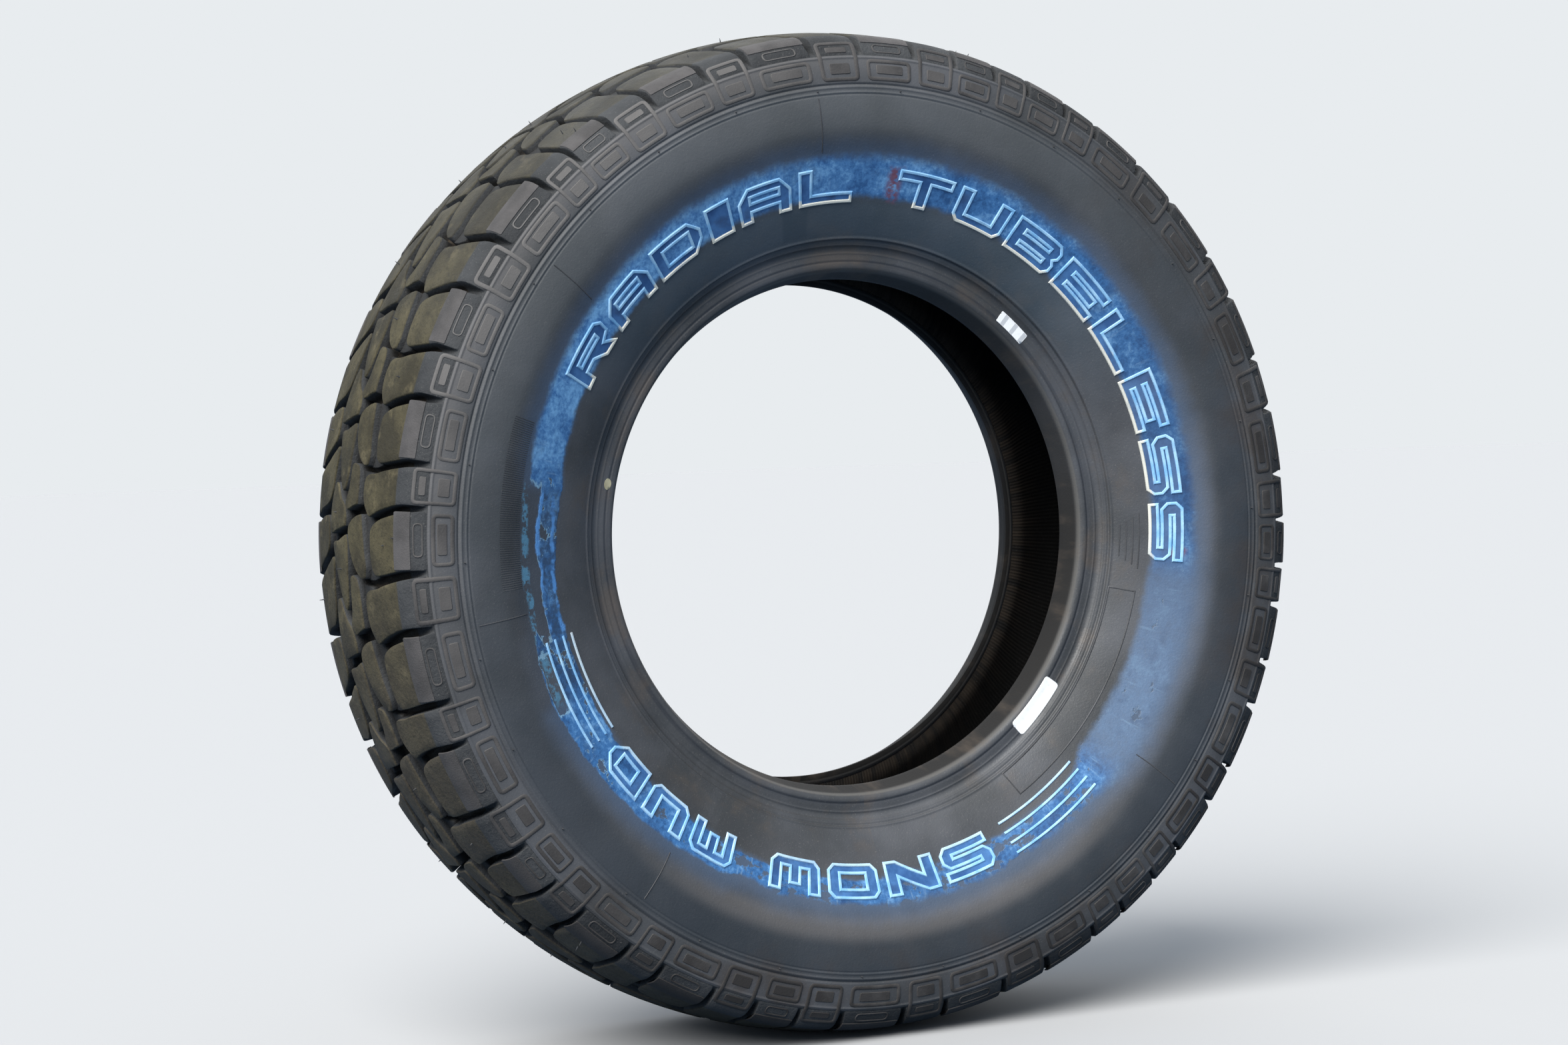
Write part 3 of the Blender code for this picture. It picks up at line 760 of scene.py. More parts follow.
def sidewall_look(name, painted):
    """Sidewall rubber; on the lettered side with its worn blue protective paint."""
    look = Look(name, 0.5, 0.5)
    radius = look.radius
    colour = rubber_colour(look, (58, 59, 60), (80, 81, 84))
    # A dark band on the seat at the hole's edge, strongest at the bottom: the seat's dark rubber with painted
    # shade against the light from above.
    dark_seat_and_painted_shade = look.times(look.step(radius, 210.0, 205.5), look.step(look.z, 0.13, -0.03, 0.6, 1.0))
    colour = look.tint(colour, (23, 21, 19), dark_seat_and_painted_shade)
    # A painted highlight along the ridge of the bead, painted shade over the groove beside it, and brown
    # stains above it.
    colour = look.tint(colour, (112, 109, 104), look.window(radius, 206.6, 208.4, 0.6), 0.4)
    colour = look.tint(colour, (32, 36, 44), look.window(radius, 212.4, 216.0, 0.8), 0.42)
    stain = look.step(look.streaks(34.0, 0.03, 5.0), 0.48, 0.7)
    colour = look.tint(colour, (92, 80, 68), stain, look.step(radius, 262.0, 236.0), 0.45)
    # A dark smear near the top, and painted shade over the hatched field.
    smear = look.times(look.sector(345.5, 350.5, 0.0012), look.window(radius, 236.0, 257.0, 2.0))
    colour = look.tint(colour, (34, 36, 38), smear, 0.4)
    hatched = look.times(look.sector(267.0, 288.6, 0.006), look.window(radius, 299.0, 317.2, 1.4))
    colour = look.tint(colour, (32, 34, 36), hatched, 0.1)
    # The smooth zone outside the letters, with a painted highlight at its top and painted shade at its
    # bottom.
    middle_ring = look.window(radius, 312.0, 347.0, 8.0)
    height = look.scaled(look.x, -0.35, look.z)
    colour = look.tint(colour, (58, 64, 69), middle_ring, 0.3)
    colour = look.tint(colour, (112, 113, 112), middle_ring, look.step(height, 0.06, 0.32, 0.0, 0.26))
    colour = look.tint(colour, (34, 41, 48), middle_ring, look.step(height, 0.1, -0.1, 0.0, 0.5))
    # A painted highlight on the band just outside the letters at the bottom, where it faces up to the light.
    low_band = look.window(radius, 300.0, 318.0, 6.0)
    colour = look.tint(colour, (112, 107, 104), low_band, look.step(look.z, -0.2, -0.29, 0.0, 0.35))
    # Painted bluish reflection on the band between the letters and the bead at the top, where it faces down.
    painted_blue_reflection = look.window(radius, 232.0, 262.0, 6.0)
    colour = look.tint(colour, (72, 96, 112), painted_blue_reflection, look.step(look.z, 0.08, 0.2, 0.0, 0.3))
    # Mud blotches near the shoulder, deepened towards the lower right by painted shade, and a painted
    # highlight on the shoulder at the upper left.
    muddy = look.times(look.step(look.noise(14.0, 5.0, 0.65), 0.46, 0.68), look.step(radius, 300.0, 352.0))
    colour = look.tint(colour, (60, 53, 48), muddy, look.step(look.upper_left, 0.2, -0.25, 0.06, 0.75))
    shoulder = look.step(radius, 350.0, 372.0)
    colour = look.tint(colour, (97, 94, 92), shoulder, look.step(look.upper_left, 0.2, 0.52, 0.0, 0.55))
    roughness = look.step(look.noise(26.0, 4.0), 0.3, 0.7, 0.42, 0.6)
    roughness = look.mix_value(look.step(radius, 340.0, 354.0), roughness, 0.74)
    roughness = look.mix_value(dark_seat_and_painted_shade, roughness, 0.9)
    look.bump(look.noise(500.0, 3.0, 0.7), 0.0004, 0.5)
    if painted:
        colour, roughness = painted_over(look, colour, roughness)
    return look.finish(colour, roughness)


# How the blue paint changes round the circle: (degrees, value).  First the radii of its edges, in
# millimetres, and how soft they are, then shares of pale paint, dark paint and bare gaps.
PAINT_OUTER = [(0, 294), (45, 294.5), (94, 294), (99, 296), (132, 296), (139, 291), (170, 290), (178, 291),
               (200, 289.5), (205, 285), (209, 290), (225, 292.5), (237, 296), (247, 300), (255, 298),
               (259, 292), (277, 288), (281, 291), (284, 294), (320, 293.5)]
PAINT_INNER = [(0, 264.5), (50, 263.5), (96, 264), (100, 262), (134, 262), (139, 271), (165, 270), (178, 271),
               (200, 272), (208, 268), (225, 266), (247, 266), (262, 267), (276, 263), (280, 261),
               (284, 264.5), (320, 265)]
PAINT_SOFT = [(0, 5.6), (45, 5.0), (92, 5.0), (100, 8.0), (134, 8.5), (142, 5.0), (176, 4.0), (204, 2.0),
              (222, 1.5), (245, 0.8), (280, 0.9), (287, 3.4), (305, 5.4), (320, 6.0)]
PAINT_LIGHT = [(0, 0.2), (25, 0.0), (255, 0.0), (280, 0.15), (294, 0.6), (308, 0.8), (325, 0.6), (345, 0.25)]
PAINT_DARK = [(0, 0.0), (30, 0.06), (50, 0.2), (80, 0.6), (100, 0.44), (120, 0.16), (150, 0.24), (190, 0.18),
              (215, 0.04), (240, 0.0), (266, 0.0), (275, 0.3), (282, 0.0)]
PAINT_GAPS = [(0, 0.04), (90, 0.06), (98, 0.22), (134, 0.22), (140, 0.4), (176, 0.4), (204, 0.44), (215, 0.3),
              (240, 0.26), (250, 0.36), (276, 0.36), (283, 0.08), (300, 0.03)]


def painted_over(look, rubber, rubber_roughness):
    """The blue paint band over the letters, with torn edges, bare patches and smears."""
    ragged = look.noise(85.0, 4.0, 0.65)
    shift = look.plus(look.scaled(ragged, 7.0, -3.5), look.scaled(look.noise(24.0), 5.0, -2.5))
    moved = look.plus(look.radius, shift)
    inward = look.minus(look.curve(PAINT_OUTER, 240.0, 310.0), moved)
    outward = look.minus(moved, look.curve(PAINT_INNER, 240.0, 310.0))
    soft = look.curve(PAINT_SOFT, 0.0, 20.0)
    low_soft = look.scaled(soft, 0.45, 0.3)
    band = look.times(look.step(inward, look.times(soft, -1.0), soft),
                      look.step(outward, look.times(low_soft, -1.0), low_soft))
    mist = look.times(look.step(outward, -5.0, 3.0), look.step(inward, -22.0, 1.0))
    gaps = look.scaled(look.curve(PAINT_GAPS, 0.0, 1.0), 0.62, 0.2)
    kept = look.step(look.minus(look.streaks(95.0, 0.075, 5.0, 0.62), gaps), -0.015, 0.03)
    # Two long bare patches at the left.
    drift = look.scaled(look.streaks(60.0, 0.05), 12.0, -6.0)
    strayed = look.plus(look.scaled(shift, 0.55, look.radius), drift)
    swung = look.plus(look.turn, look.scaled(ragged, 0.012, -0.006))
    patches = [
        look.times(look.window(swung, share_of_turn(first), share_of_turn(last), 0.002),
                   look.window(strayed, low, high, 0.6))
        for first, last, low, high in ((245, 254.5, 287.5, 298.0), (256.5, 280, 281.0, 291.8))
    ]
    covered = look.times(kept, look.minus(1.0, look.plus(*patches)))
    paint = look.times(band, covered)
    # The paint's own colour: blotches, a pale stretch, scratches, dirt and an old cracked stretch.
    fine = look.noise(260.0, 4.0, 0.7)
    tone = look.plus(look.times(look.streaks(70.0, 0.05), 0.55), look.times(fine, 0.45))
    blue = look.mix(look.step(tone, 0.36, 0.52), (38, 80, 128), (62, 114, 168))
    blue = look.tint(blue, (110, 160, 206), look.step(tone, 0.5, 0.64))
    pale = look.sector(98, 134, 0.01)
    blue = look.tint(blue, (115, 132, 150), pale, 0.68)
    blue = look.tint(blue, (160, 196, 222), look.step(look.streaks(420.0, 0.03, 3.0), 0.62, 0.74), 0.3)
    blue = look.tint(blue, (44, 66, 100), look.step(look.noise(46.0, 5.0, 0.65), 0.5, 0.72), 0.5)
    thick = look.mix(look.step(tone, 0.38, 0.6), (66, 122, 182), (138, 194, 238))
    blue = look.mix(look.curve(PAINT_LIGHT, 0.0, 1.0), blue, thick)
    blue = look.tint(blue, (40, 56, 84), look.curve(PAINT_DARK, 0.0, 1.0))
    old = look.sector(247, 279.5, 0.004)
    cracked = look.step(look.noise(150.0, 4.0, 0.7), 0.4, 0.62)
    blue = look.tint(blue, (46, 66, 92), old, look.scaled(cracked, -0.55, 0.85))
    # From the rubber up: mist, specks, the paint, its torn edges, its broken outlines and rust.
    colour = look.tint(rubber, (76, 97, 124), mist, look.scaled(old, -0.4, 0.55))
    specks = look.step(look.plus(ragged, fine), 0.9, 1.06)
    colour = look.tint(colour, (86, 142, 172), look.window(strayed, 290.5, 296.5, 1.4), specks, old, 0.7)
    colour = look.mix(look.times(paint, look.scaled(pale, -0.36, 1.0)), colour, blue)
    torn = look.times(look.window(covered, 0.3, 0.8, 0.12), band)
    colour = look.tint(colour, (150, 192, 214), torn, look.scaled(look.sector(232, 282, 0.01), 0.55, 0.06))
    broken = look.step(look.streaks(120.0, 0.03, 3.0), 0.4, 0.55)
    edges = look.plus(look.window(strayed, 278.6, 281.6, 0.9), look.window(moved, 266.5, 269.6, 0.9))
    colour = look.tint(colour, (88, 146, 208), edges, broken, look.sector(256, 279, 0.003), 0.85)
    rust = look.plus(look.sector(5.2, 7.6, 0.002), look.sector(95, 96.4, 0.0015))
    spots = look.step(look.noise(160.0), 0.36, 0.54)
    colour = look.tint(colour, (122, 64, 68), rust, look.window(moved, 263.0, 288.0, 3.0), spots, 0.85)
    look.bump(paint, 0.00025, 0.6)
    return colour, look.mix_value(paint, rubber_roughness, 0.46)


def letter_look(name):
    """Letter rims: white rubber under thin blue paint, cream where the paint is rubbed off."""
    look = Look(name, 0.68, 0.3)
    low = look.step(look.scaled(look.noise(120.0, 4.0), 8.0, look.radius), 266.5, 269.5, 1.0, 0.0)
    rubbed = look.times(low, look.step(look.z, -0.16, 0.02, 0.25, 0.9))
    blue = look.mix(look.step(look.noise(70.0, 4.0), 0.3, 0.7), (122, 178, 222), (172, 212, 238))
    colour = look.tint(blue, (226, 220, 202), rubbed)
    colour = look.tint(colour, (70, 104, 148), look.step(look.streaks(80.0, 0.06), 0.55, 0.75), 0.35)
    look.bump(look.noise(400.0), 0.0003, 0.4)
    return look.finish(colour)


def face_look(name):
    """The deep blue paint lying inside the letter rims."""
    look = Look(name, 0.45, 0.4)
    blue = look.mix(look.step(look.streaks(90.0, 0.06), 0.3, 0.7), (46, 84, 134), (76, 122, 174))
    blue = look.tint(blue, (54, 68, 96), look.step(look.noise(60.0, 4.0), 0.5, 0.72), 0.55)
    blue = look.tint(blue, (84, 96, 116), look.sector(60, 100, 0.03), 0.5)
    look.bump(look.noise(300.0), 0.0003, 0.4)
    return look.finish(blue)


def grained(name, dark, pale, scale, roughness, specular, bump, mud_and_shade=0.0, dust=0.0):
    """Blotches and a fine grain, with muddy blotches that deepen into painted shade towards the lower right,
    and a painted highlight at the upper left.
    """
    look = Look(name, roughness, specular)
    colour = look.mix(look.step(look.noise(scale, 4.0), 0.32, 0.7), dark, pale)
    colour = look.tint(colour, pale, look.step(look.noise(scale * 22.0, 2.0), 0.45, 0.75), 0.3)
    if mud_and_shade:
        # Muddy blotches that deepen into painted shade towards the lower right.
        dirt = look.step(look.noise(15.0, 5.0, 0.65), 0.3, 0.56)
        colour = look.tint(colour, (47, 44, 42), dirt, look.step(look.upper_left, 0.28, -0.22, 0.0, mud_and_shade))
        # A painted highlight at the upper left; the dust argument sets its strength.
        colour = look.tint(colour, (118, 115, 112), look.step(look.upper_left, 0.38, 0.51, 0.0, dust))
    look.bump(look.noise(scale * 30.0), bump, 0.6)
    return look.finish(colour)


def corded(name, dark, pale, pitch_mm, roughness, metallic):
    """Cords lying side by side, for the plies, belts and bead wires."""
    look = Look(name, roughness, 0.4)
    look.shader.inputs["Metallic"].default_value = metallic
    lean = look.scaled(look.turn, 360.0 * 6.0, look.times(look.y, 1.0 / MM))
    wave = look.math("SINE", look.times(lean, 2.0 * math.pi / pitch_mm))
    colour = look.mix(look.step(wave, -0.5, 0.7), dark, pale)
    colour = look.tint(colour, dark, look.noise(60.0), 0.4)
    look.bump(wave, 0.0003, 0.8)
    return look.finish(colour)


def liner_look(name):
    """The tire's inside: dark rubber with fine moulded ribs and brown dust on the bead's inner wall."""
    look = Look(name, 0.62, 0.35)
    colour = rubber_colour(look, (24, 24, 24), (36, 35, 34))
    streak = look.step(look.streaks(240.0, 0.008), 0.3, 0.65)
    colour = look.tint(colour, (70, 60, 50), look.step(look.radius, 262.0, 214.0), streak, 0.6)
    look.bump(look.math("SINE", look.times(look.turn, 2.0 * math.pi * 520.0)), 0.0003, 0.5)
    look.bump(look.noise(260.0), 0.0004, 0.5)
    return look.finish(colour)


# Where the stripes of a label have the width that is asked for.
LABEL_RADIUS = 216.0


def label_look(name, stripe_mm, first, last):
    """White paper with a little dirt, and soft grey stripes between two radii."""
    look = Look(name, 0.55, 0.4)
    dirt = look.step(look.noise(160.0, 4.0), 0.5, 0.8)
    paper = look.mix(look.times(dirt, 0.5), (250, 250, 248), (214, 213, 208))
    stripes = 2.0 * math.pi * LABEL_RADIUS / stripe_mm
    wave = look.step(look.math("SINE", look.times(look.turn, 2.0 * math.pi * stripes)), 0.3, 0.6)
    colour = look.tint(paper, (140, 146, 154), wave, look.window(look.radius, first, last, 0.3), 0.55)
    look.bump(look.noise(700.0, 2.0), 0.0001, 0.4)
    return look.finish(colour)


# ---------------------------------------------------------------- the rings
def outside_section(first_radius, last_radius):
    """The v between two radii: close together near the moulded rings, further apart elsewhere."""
    first, last = float(v_at(first_radius)), float(v_at(last_radius))
    ring_radius, ring_width = np.array(RINGS).T[:2]
    near = np.min(abs(OUT_PATH[:, 1:] - ring_radius) / ring_width, axis=1) < 2.8
    kept = (near | (np.arange(len(OUT_V)) % 5 == 0)) & (OUT_V > first) & (OUT_V < last)
    return np.concatenate([[first], OUT_V[kept], [last]])


def sidewall_ring(side):
    """The skin of one sidewall, from the shoulder to the bead."""
    v = outside_section(SHOULDER_RADIUS, BEAD_RADIUS)
    return turned(np.vstack([raised(v), raised(v[::-6], -SKIN_THICKNESS)]) * (side, 1.0))


def bead_ring(side):
    """The bead: its outer face, the seat, the toe and the leg inside."""
    v = outside_section(BEAD_RADIUS, LOWEST_RADIUS)
    section = np.vstack([raised(v), TOE[-2:-1], BEAD_LEG, raised(v[:1], -SKIN_THICKNESS)])
    return turned(section * (side, 1.0))


def liner_ring():
    """The smooth inside of the tire."""
    seen = catmull_rom(LINER_INSIDE, 5.0)
    hidden = seen + normals(seen) * LINER_THICKNESS
    seen, hidden = [np.vstack([half[::-1] * (-1.0, 1.0), half[1:]]) for half in (seen, hidden)]
    return turned(np.vstack([seen, hidden[::-1]]))


# ---------------------------------------------------------------- shoulder and sidewall ornaments
# Drawn angles of the ornaments under the wide block and under the narrow one.
SHOULDER_SPANS = {FRONT: ((268.3, 274.75), (275.35, 279.9)), BACK: ((268.3, 274.2), (274.8, 279.7))}
WIDE, NARROW = 0, 1
# How far the back blocks lean at a radius on their shoulder, in degrees.
BACK_LEAN = ((374.0, 383.0, 390.4), (-1.4, -1.1, -0.7))
# Boxes on the shoulder: block, insets from its ends in degrees, lower and upper radius.
FACET = (WIDE, 0.12, 0.12, 383.0, 390.4)
# The same with a line's width and height after each.
FRAMES = [
    ((WIDE, 1.5, 1.4, 375.4, 381.2), 1.3, 0.5),
    ((WIDE, 0.5, 0.45, 354.0, 368.0), 3.2, 0.65),
    ((NARROW, 0.36, 0.36, 353.6, 382.2), 3.2, 0.7),
]
PLATES = [
    (WIDE, 1.5, 1.3, 357.6, 365.4),
    (NARROW, 1.15, 1.1, 357.2, 366.4),
    (NARROW, 1.15, 1.1, 374.2, 379.4),
]
# The foot of a vent nub: radius and lift.
NUB_FOOT = ((0.7, -0.4), (0.55, 0.5))
# Vent nubs on the tread: drawn angle and v.
VENTS = [(271.0, -72.0), (276.8, -62.0), (270.8, -22.0), (280.6, 8.0), (274.4, 20.0), (271.6, 66.0),
         (277.8, 55.0), (277.4, 84.0), (271.8, -86.0)]
WALL_VENTS = 30
WALL_VENT_RADIUS = 345.2
# No nubs this many degrees to each side of the place where the tire stands.
WORN_AWAY = 18.0


def shoulder_box(side, block, first_inset, last_inset, low_radius, high_radius):
    """Corners of a box on the shoulder in drawn millimetres."""
    start, end = SHOULDER_SPANS[side][block]
    angles = [start + first_inset, end - last_inset]
    corners = []
    for radius, ends in ((low_radius, angles), (high_radius, angles[::-1])):
        lean = float(np.interp(radius, *BACK_LEAN)) if side == BACK else 0.0
        corners += [((angle + lean - DRAWN_WIDE) * DRAWN_MM, side * float(v_at(radius))) for angle in ends]
    return corners


def add_shoulder_ornaments(facets, frames, side):
    """The raised facets, frames and inner plates under each shoulder block."""
    facet = rounded(shoulder_box(side, *FACET), 1.0, 2.0, 6.0)
    lines = [(rounded(shoulder_box(side, *where), 3.0, 2.0, 5.0), *size) for where, *size in FRAMES]
    plates = [rounded(shoulder_box(side, *where), 1.6, 2.0, 6.0) for where in PLATES]
    for pair in range(PAIRS):
        def place(u, v, lift, pair=pair):
            return on_outside(laid(DRAWN_WIDE + u / DRAWN_MM, pair), v, lift)

        add_plate(facets, facet, 0.5, 0.4, place, 4.0)
        for outline, width, height in lines:
            add_stroke(frames, outline, width, height, True, place, 5.0)
        for outline in plates:
            add_plate(frames, outline, 0.5, 0.7, place, 5.0)


def add_radial_line(shell, side, angle, low, high, width, height):
    half = (high - low) / 2
    place = side_place(side, angle, (low + high) / 2)
    add_stroke(shell, [(0.0, -half), (0.0, half)], width, height, False, place, 4.0)


def add_nub(shell, angle, v, length):
    """A small rubber hair left by a vent of the mould."""
    around = np.arange(6) * math.pi / 3.0
    starts = shell.loft([
        on_outside(angle + np.cos(around) * radius / DRAWN_MM, v + np.sin(around) * radius, lift)
        for radius, lift in (*NUB_FOOT, (0.32, length * 0.7), (0.12, length))
    ])
    shell.cover([range(6)], starts[0])
    shell.cover([range(6)], starts[-1])


def box(half_width, half_height):
    w, h = half_width, half_height
    return [(-w, -h), (w, -h), (w, h), (-w, h)]


# ---------------------------------------------------------------- making it all
TREAD = tread_look("dusty_tread_rubber")
FRONT_WALL = sidewall_look("painted_sidewall_rubber", True)
BACK_WALL = sidewall_look("plain_sidewall_rubber", False)
LETTERS = letter_look("painted_white_rubber")
# Both shoulder materials carry painted shade towards the lower right; the shoulder frames also a painted
# highlight at the upper left.
FACETS = grained("worn_shoulder_rubber", (62, 60, 59), (83, 80, 79), 30.0, 0.72, 0.26, 0.0006, 0.85)
ORNAMENTS = grained("shoulder_rubber", (61, 59, 58), (84, 81, 79), 26.0, 0.7, 0.26, 0.0003, 0.85, 0.42)
BACK_FACES = grained("hatched_rubber", (30, 30, 31), (42, 42, 43), 30.0, 0.7, 0.3, 0.0005)
LETTER_FACES = face_look("paint_in_letters")
PLAIN = grained("moulded_rubber", (54, 54, 55), (74, 74, 76), 22.0, 0.5, 0.4, 0.0003)
BARS = letter_look("painted_bars")
YELLOW = grained("yellow_paint", (138, 132, 106), (172, 166, 138), 60.0, 0.7, 0.3, 0.0001)

groove_base().make("tread_groove_base", TREAD, "tread_rubber", ["tread_cap"])
for name, shapes, top, corner, spacing in (
    ("tread_shoulder_blocks_front", SHOULDER_SHAPES[FRONT], 1.0, 2.5, 5.0),
    ("tread_shoulder_blocks_back", SHOULDER_SHAPES[BACK], 1.0, 2.5, 5.0),
    ("tread_middle_blocks", MIDDLE_SHAPES, 1.0, 1.6, 6.5),
    ("tread_low_steps", STEP_SHAPES, 0.55, 1.6, 7.0),
):
    shell = Shell()
    for drawn in shapes.values():
        add_blocks(shell, drawn, top, corner, spacing)
    shell.make(name, TREAD, "tread_rubber", ["tread_cap"])

sidewall_ring(FRONT).make("sidewall_skin_front", FRONT_WALL, "sidewall_rubber",
                          ["sidewall_front", "sidewall_veneer", "tread_wing_front"])
sidewall_ring(BACK).make("sidewall_skin_back", BACK_WALL, "sidewall_rubber",
                         ["sidewall_back", "tread_wing_back"])
bead_ring(FRONT).make("bead_seat_front", FRONT_WALL, "sidewall_rubber", ["chafer_front"])
bead_ring(BACK).make("bead_seat_back", BACK_WALL, "sidewall_rubber", ["chafer_back"])
liner_ring().make("inner_liner_skin", liner_look("ribbed_liner_rubber"), "liner_rubber", ["inner_liner"])

for side, ending in ((FRONT, "front"), (BACK, "back")):
    facets = Shell()
    frames = Shell()
    add_shoulder_ornaments(facets, frames, side)
    facets.make("shoulder_facets_" + ending, FACETS, "tread_rubber", ["tread_cap"])
    frames.make("shoulder_frames_" + ending, ORNAMENTS, "sidewall_rubber")

for side, ending, height, rim_look, face, slot, replaced in (
    (FRONT, "front", 1.0, LETTERS, LETTER_FACES, "white_rubber", ["white_rubber_insert"]),
    (BACK, "back", 0.9, PLAIN, BACK_FACES, "sidewall_rubber", []),
):
    rims = Shell()
    faces = Shell()
    for word, first, last in WORDS:
        add_word(rims, faces, word, -side * first, -side * last, side, height)
    rims.make("letter_outlines_" + ending, rim_look, slot, replaced)
    faces.make("letter_faces_" + ending, face, slot, replaced)

shell = Shell()
add_bars(shell, 137.5, 155.5)
add_bars(shell, 238.5, 256.0)
shell.make("emblem_bars_front", BARS, "white_rubber")

for side, ending in ((FRONT, "front"), (BACK, "back")):
    shell = Shell()
    for angle in (129.5, 218.5, 261.0, 308.5, 353.0):
        add_radial_line(shell, side, angle, 299.0, 340.0, 0.9, 0.35)
    # A hatched field.
    for number in range(80):
        add_radial_line(shell, side, 264.8 + number * 0.3, 299.0, 317.0, 0.7, 0.18)
    # Four short plain lines and an empty outlined panel.
    info = side_place(side, 94.0, 245.0)
    for number, w in enumerate((7.5, 2.8, -2.0, -6.8)):
        half = 22.0 - 3.0 * number
        add_stroke(shell, [(-half, w), (half, w)], 1.0, 0.4, False, info)
    add_stroke(shell, box(96.0, 9.5), 1.2, 0.4, True, side_place(side, 126.0, 243.5))
    for number in range(WALL_VENTS):
        add_nub(shell, 5.0 + number * 360.0 / WALL_VENTS, side * float(v_at(WALL_VENT_RADIUS)), 2.6)
    shell.make("moulded_lines_" + ending, PLAIN, "sidewall_rubber")

# Nubs on some of the blocks, but none where the tire stands on the floor.
shell = Shell()
for pair in range(PAIRS):
    for number, (drawn, v) in enumerate(VENTS):
        angle = float(laid(drawn, pair))
        if (pair * 5 + number * 3) % 4 == 0 and abs(angle % 360.0 - 180.0) > WORN_AWAY:
            add_nub(shell, angle, v, 2.2 + (pair * 7 + number * 5) % 5 * 0.5)
shell.make("vent_nubs", PLAIN, "tread_rubber")

# Thin labels and a paint dot on the front bead.
turns = np.arange(28) * 2.0 * math.pi / 28.0
for name, outline, height, chamfer, spacing, angle, radius, look, replaced in (
    ("bead_label_paper", rounded(box(26.0, 7.0), 3.2, 1.2, 3.0), 0.34, 0.2, 3.0, 132.8, 217.8,
     label_look("plain_paper", 300.0, 216.6, 217.2), ["bead_label"]),
    ("small_label_paper", rounded(box(15.0, 5.0), 1.2, 1.0, 3.0), 0.28, 0.2, 2.5, 43.0, 218.6,
     label_look("striped_paper", 10.5, 214.0, 223.0), ["small_label"]),
    ("paint_dot", np.column_stack([4.6 * np.cos(turns), 3.0 * np.sin(turns)]), 0.2, 0.25, 2.0, 282.5, 215.6,
     YELLOW, []),
):
    shell = Shell()
    add_plate(shell, outline, height, chamfer, side_place(FRONT, angle, radius), spacing, -0.2)
    shell.make(name, look, "label_paper", replaced)

# The model's own layers, seen only when the skins are taken off.
UNDER_TREAD = grained("under_tread_rubber", (34, 33, 33), (52, 50, 49), 20.0, 0.7, 0.3, 0.0003)
NYLON = corded("nylon_cords", (120, 110, 92), (176, 166, 144), 1.6, 0.7, 0.0)
POLYESTER = corded("polyester_cords", (96, 90, 80), (150, 142, 126), 1.4, 0.7, 0.0)
STEEL = corded("steel_cords", (60, 56, 50), (158, 146, 120), 2.0, 0.4, 0.8)
WIRES = corded("bead_wires", (70, 58, 44), (176, 144, 98), 1.6, 0.35, 0.9)
LAYERS = [("tread_base", UNDER_TREAD), ("belt_edge_wedge", UNDER_TREAD), ("bead_filler", UNDER_TREAD),
          ("cap_ply", NYLON), ("body_ply", POLYESTER), ("steel_belt", STEEL), ("bead_core", WIRES)]
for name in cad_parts:
    look = next((look for start, look in LAYERS if name.startswith(start)), PLAIN)
    for slot in bpy.data.objects[name].material_slots:
        slot.material = look

# ---------------------------------------------------------------- floor, light and camera
FLOOR_RADIUS = 40.0
FLOOR_GAP = 0.0002
floor_mesh = bpy.data.meshes.new("floor")
floor_shape = bmesh.new()
bmesh.ops.create_circle(floor_shape, cap_ends=True, radius=FLOOR_RADIUS, segments=96)
floor_shape.to_mesh(floor_mesh)
floor_shape.free()
floor = bpy.data.objects.new("floor", floor_mesh)
floor.location.z = CONTACT_Z * MM - FLOOR_GAP
bpy.context.scene.collection.objects.link(floor)
floor_look = Look("pale_floor", 0.9, 0.0)
floor_ray = floor_look.node("LightPath").outputs["Is Camera Ray"]
floor_mesh.materials.append(floor_look.finish(floor_look.mix(floor_ray, (82, 98, 116), (172, 172, 172))))

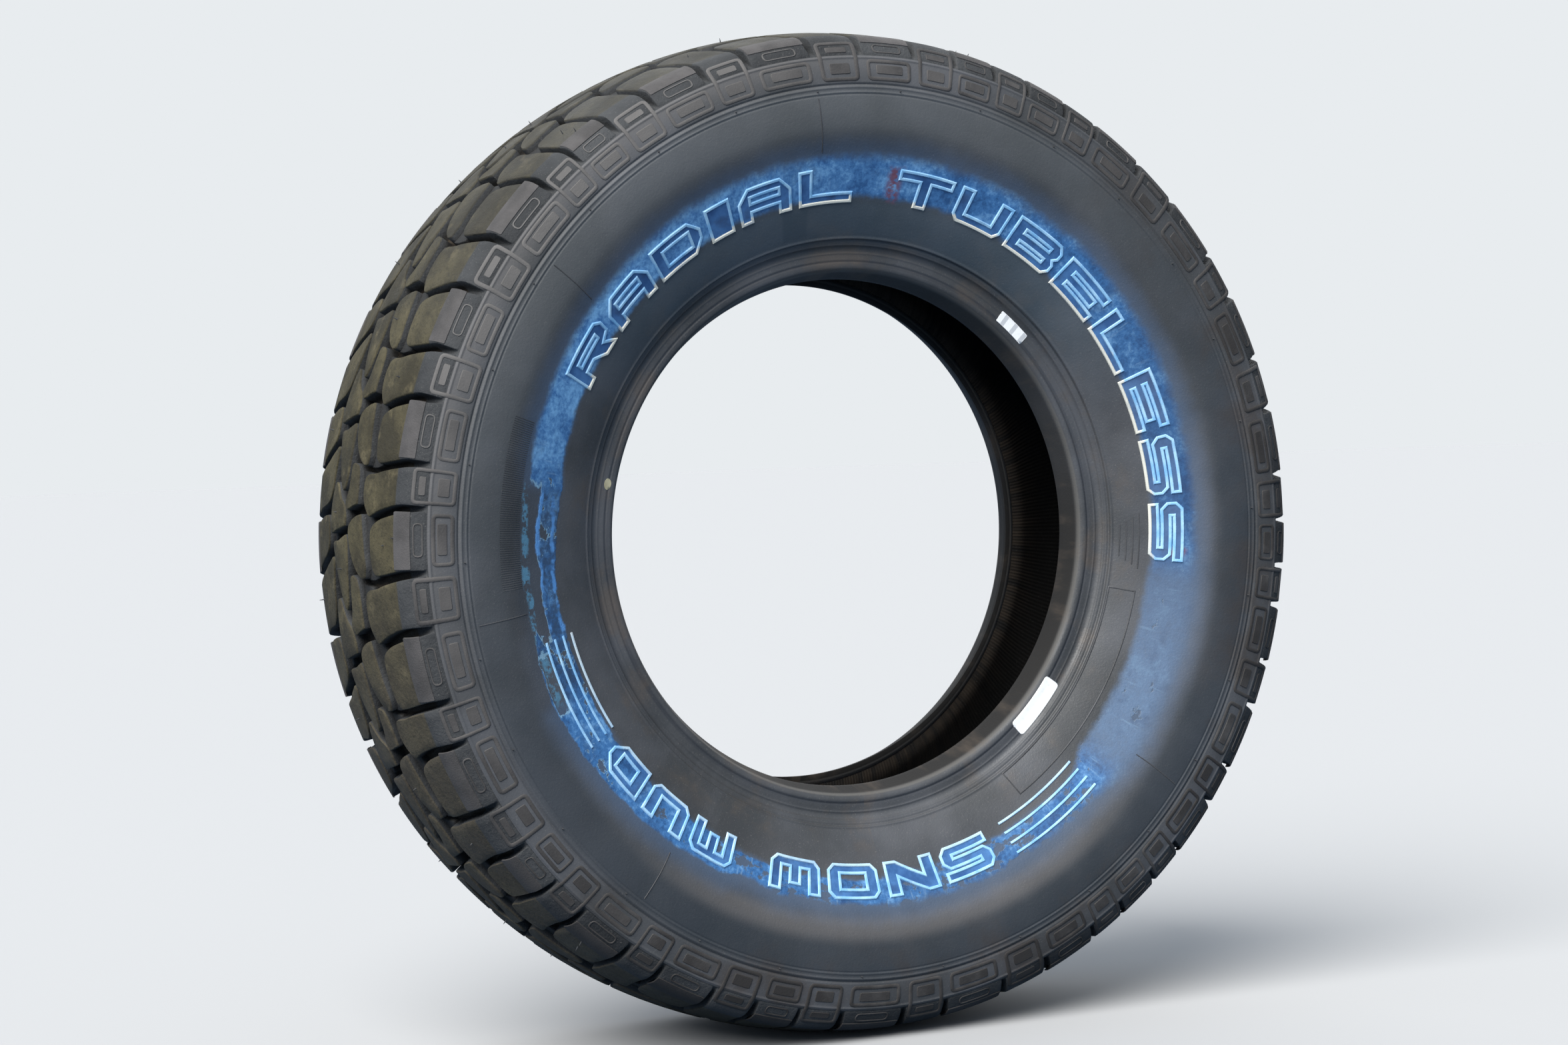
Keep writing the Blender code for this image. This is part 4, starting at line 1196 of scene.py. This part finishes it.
# The world lights the tire from the upper left; the camera sees an even pale backdrop.
world = bpy.data.worlds.new("studio")
world.use_nodes = True
sky = world.node_tree
lit = sky.nodes["Background"]
lit.inputs["Color"].default_value = linear(190, 209, 231)
seen, either, ray, place, facing, overhead = [sky.nodes.new("ShaderNode" + kind) for kind in (
    "Background", "MixShader", "LightPath", "TexCoord", "VectorMath", "MapRange")]
seen.inputs["Color"].default_value = linear(232, 236, 239)
seen.inputs["Strength"].default_value = 1.0
facing.operation = "DOT_PRODUCT"
facing.inputs[1].default_value = (-0.48, -0.2, 0.85)
for socket, value in zip(list(overhead.inputs)[1:5], (-0.6, 0.9, 0.2, 0.86)):
    socket.default_value = value
for output, socket in (
    (place.outputs["Generated"], facing.inputs[0]),
    (facing.outputs["Value"], overhead.inputs[0]),
    (overhead.outputs[0], lit.inputs["Strength"]),
    (ray.outputs["Is Camera Ray"], either.inputs[0]),
    (lit.outputs[0], either.inputs[1]),
    (seen.outputs[0], either.inputs[2]),
    (either.outputs[0], sky.nodes["World Output"].inputs["Surface"]),
):
    sky.links.new(output, socket)
bpy.context.scene.world = world
bpy.context.scene.view_settings.view_transform = "Standard"


def add_sun(name, direction, strength, softness):
    """A soft, slightly warm, even light that comes from a direction."""
    light = bpy.data.lights.new(name, "SUN")
    light.energy = strength
    light.angle = math.radians(softness)
    light.color = (1.0, 0.985, 0.96)
    lamp = bpy.data.objects.new(name, light)
    lamp.rotation_euler = Vector(direction).to_track_quat("Z", "Y").to_euler()
    bpy.context.scene.collection.objects.link(lamp)


add_sun("key", (-0.54, -0.42, 0.7), 5.8, 50.0)
add_sun("rear", (0.5, 0.7, 0.5), 1.7, 70.0)

CAMERA_AZIMUTH = math.radians(-25.97)
CAMERA_ELEVATION = math.radians(1.57)
CAMERA_ROLL = math.radians(-2.0)
CAMERA_DISTANCE = 2.6949
CAMERA_ASIDE = -0.0258
CAMERA_UP = 0.0085
CAMERA_LENS = 76.42
SENSOR_WIDTH = 36.0
towards = Vector((
    math.sin(CAMERA_AZIMUTH) * math.cos(CAMERA_ELEVATION),
    -math.cos(CAMERA_AZIMUTH) * math.cos(CAMERA_ELEVATION),
    math.sin(CAMERA_ELEVATION),
))
level = Vector((math.cos(CAMERA_AZIMUTH), math.sin(CAMERA_AZIMUTH), 0.0))
upright = towards.cross(level)
camera_right = level * math.cos(CAMERA_ROLL) + upright * math.sin(CAMERA_ROLL)
camera_top = upright * math.cos(CAMERA_ROLL) - level * math.sin(CAMERA_ROLL)
camera_place = towards * CAMERA_DISTANCE + level * CAMERA_ASIDE + upright * CAMERA_UP
camera_data = bpy.data.cameras.new("camera")
camera_data.sensor_width = SENSOR_WIDTH
camera_data.lens = CAMERA_LENS
camera = bpy.data.objects.new("camera", camera_data)
camera_axes = Matrix((camera_right, camera_top, towards)).transposed().to_4x4()
camera.matrix_world = Matrix.Translation(camera_place) @ camera_axes
bpy.context.scene.collection.objects.link(camera)
bpy.context.scene.camera = camera
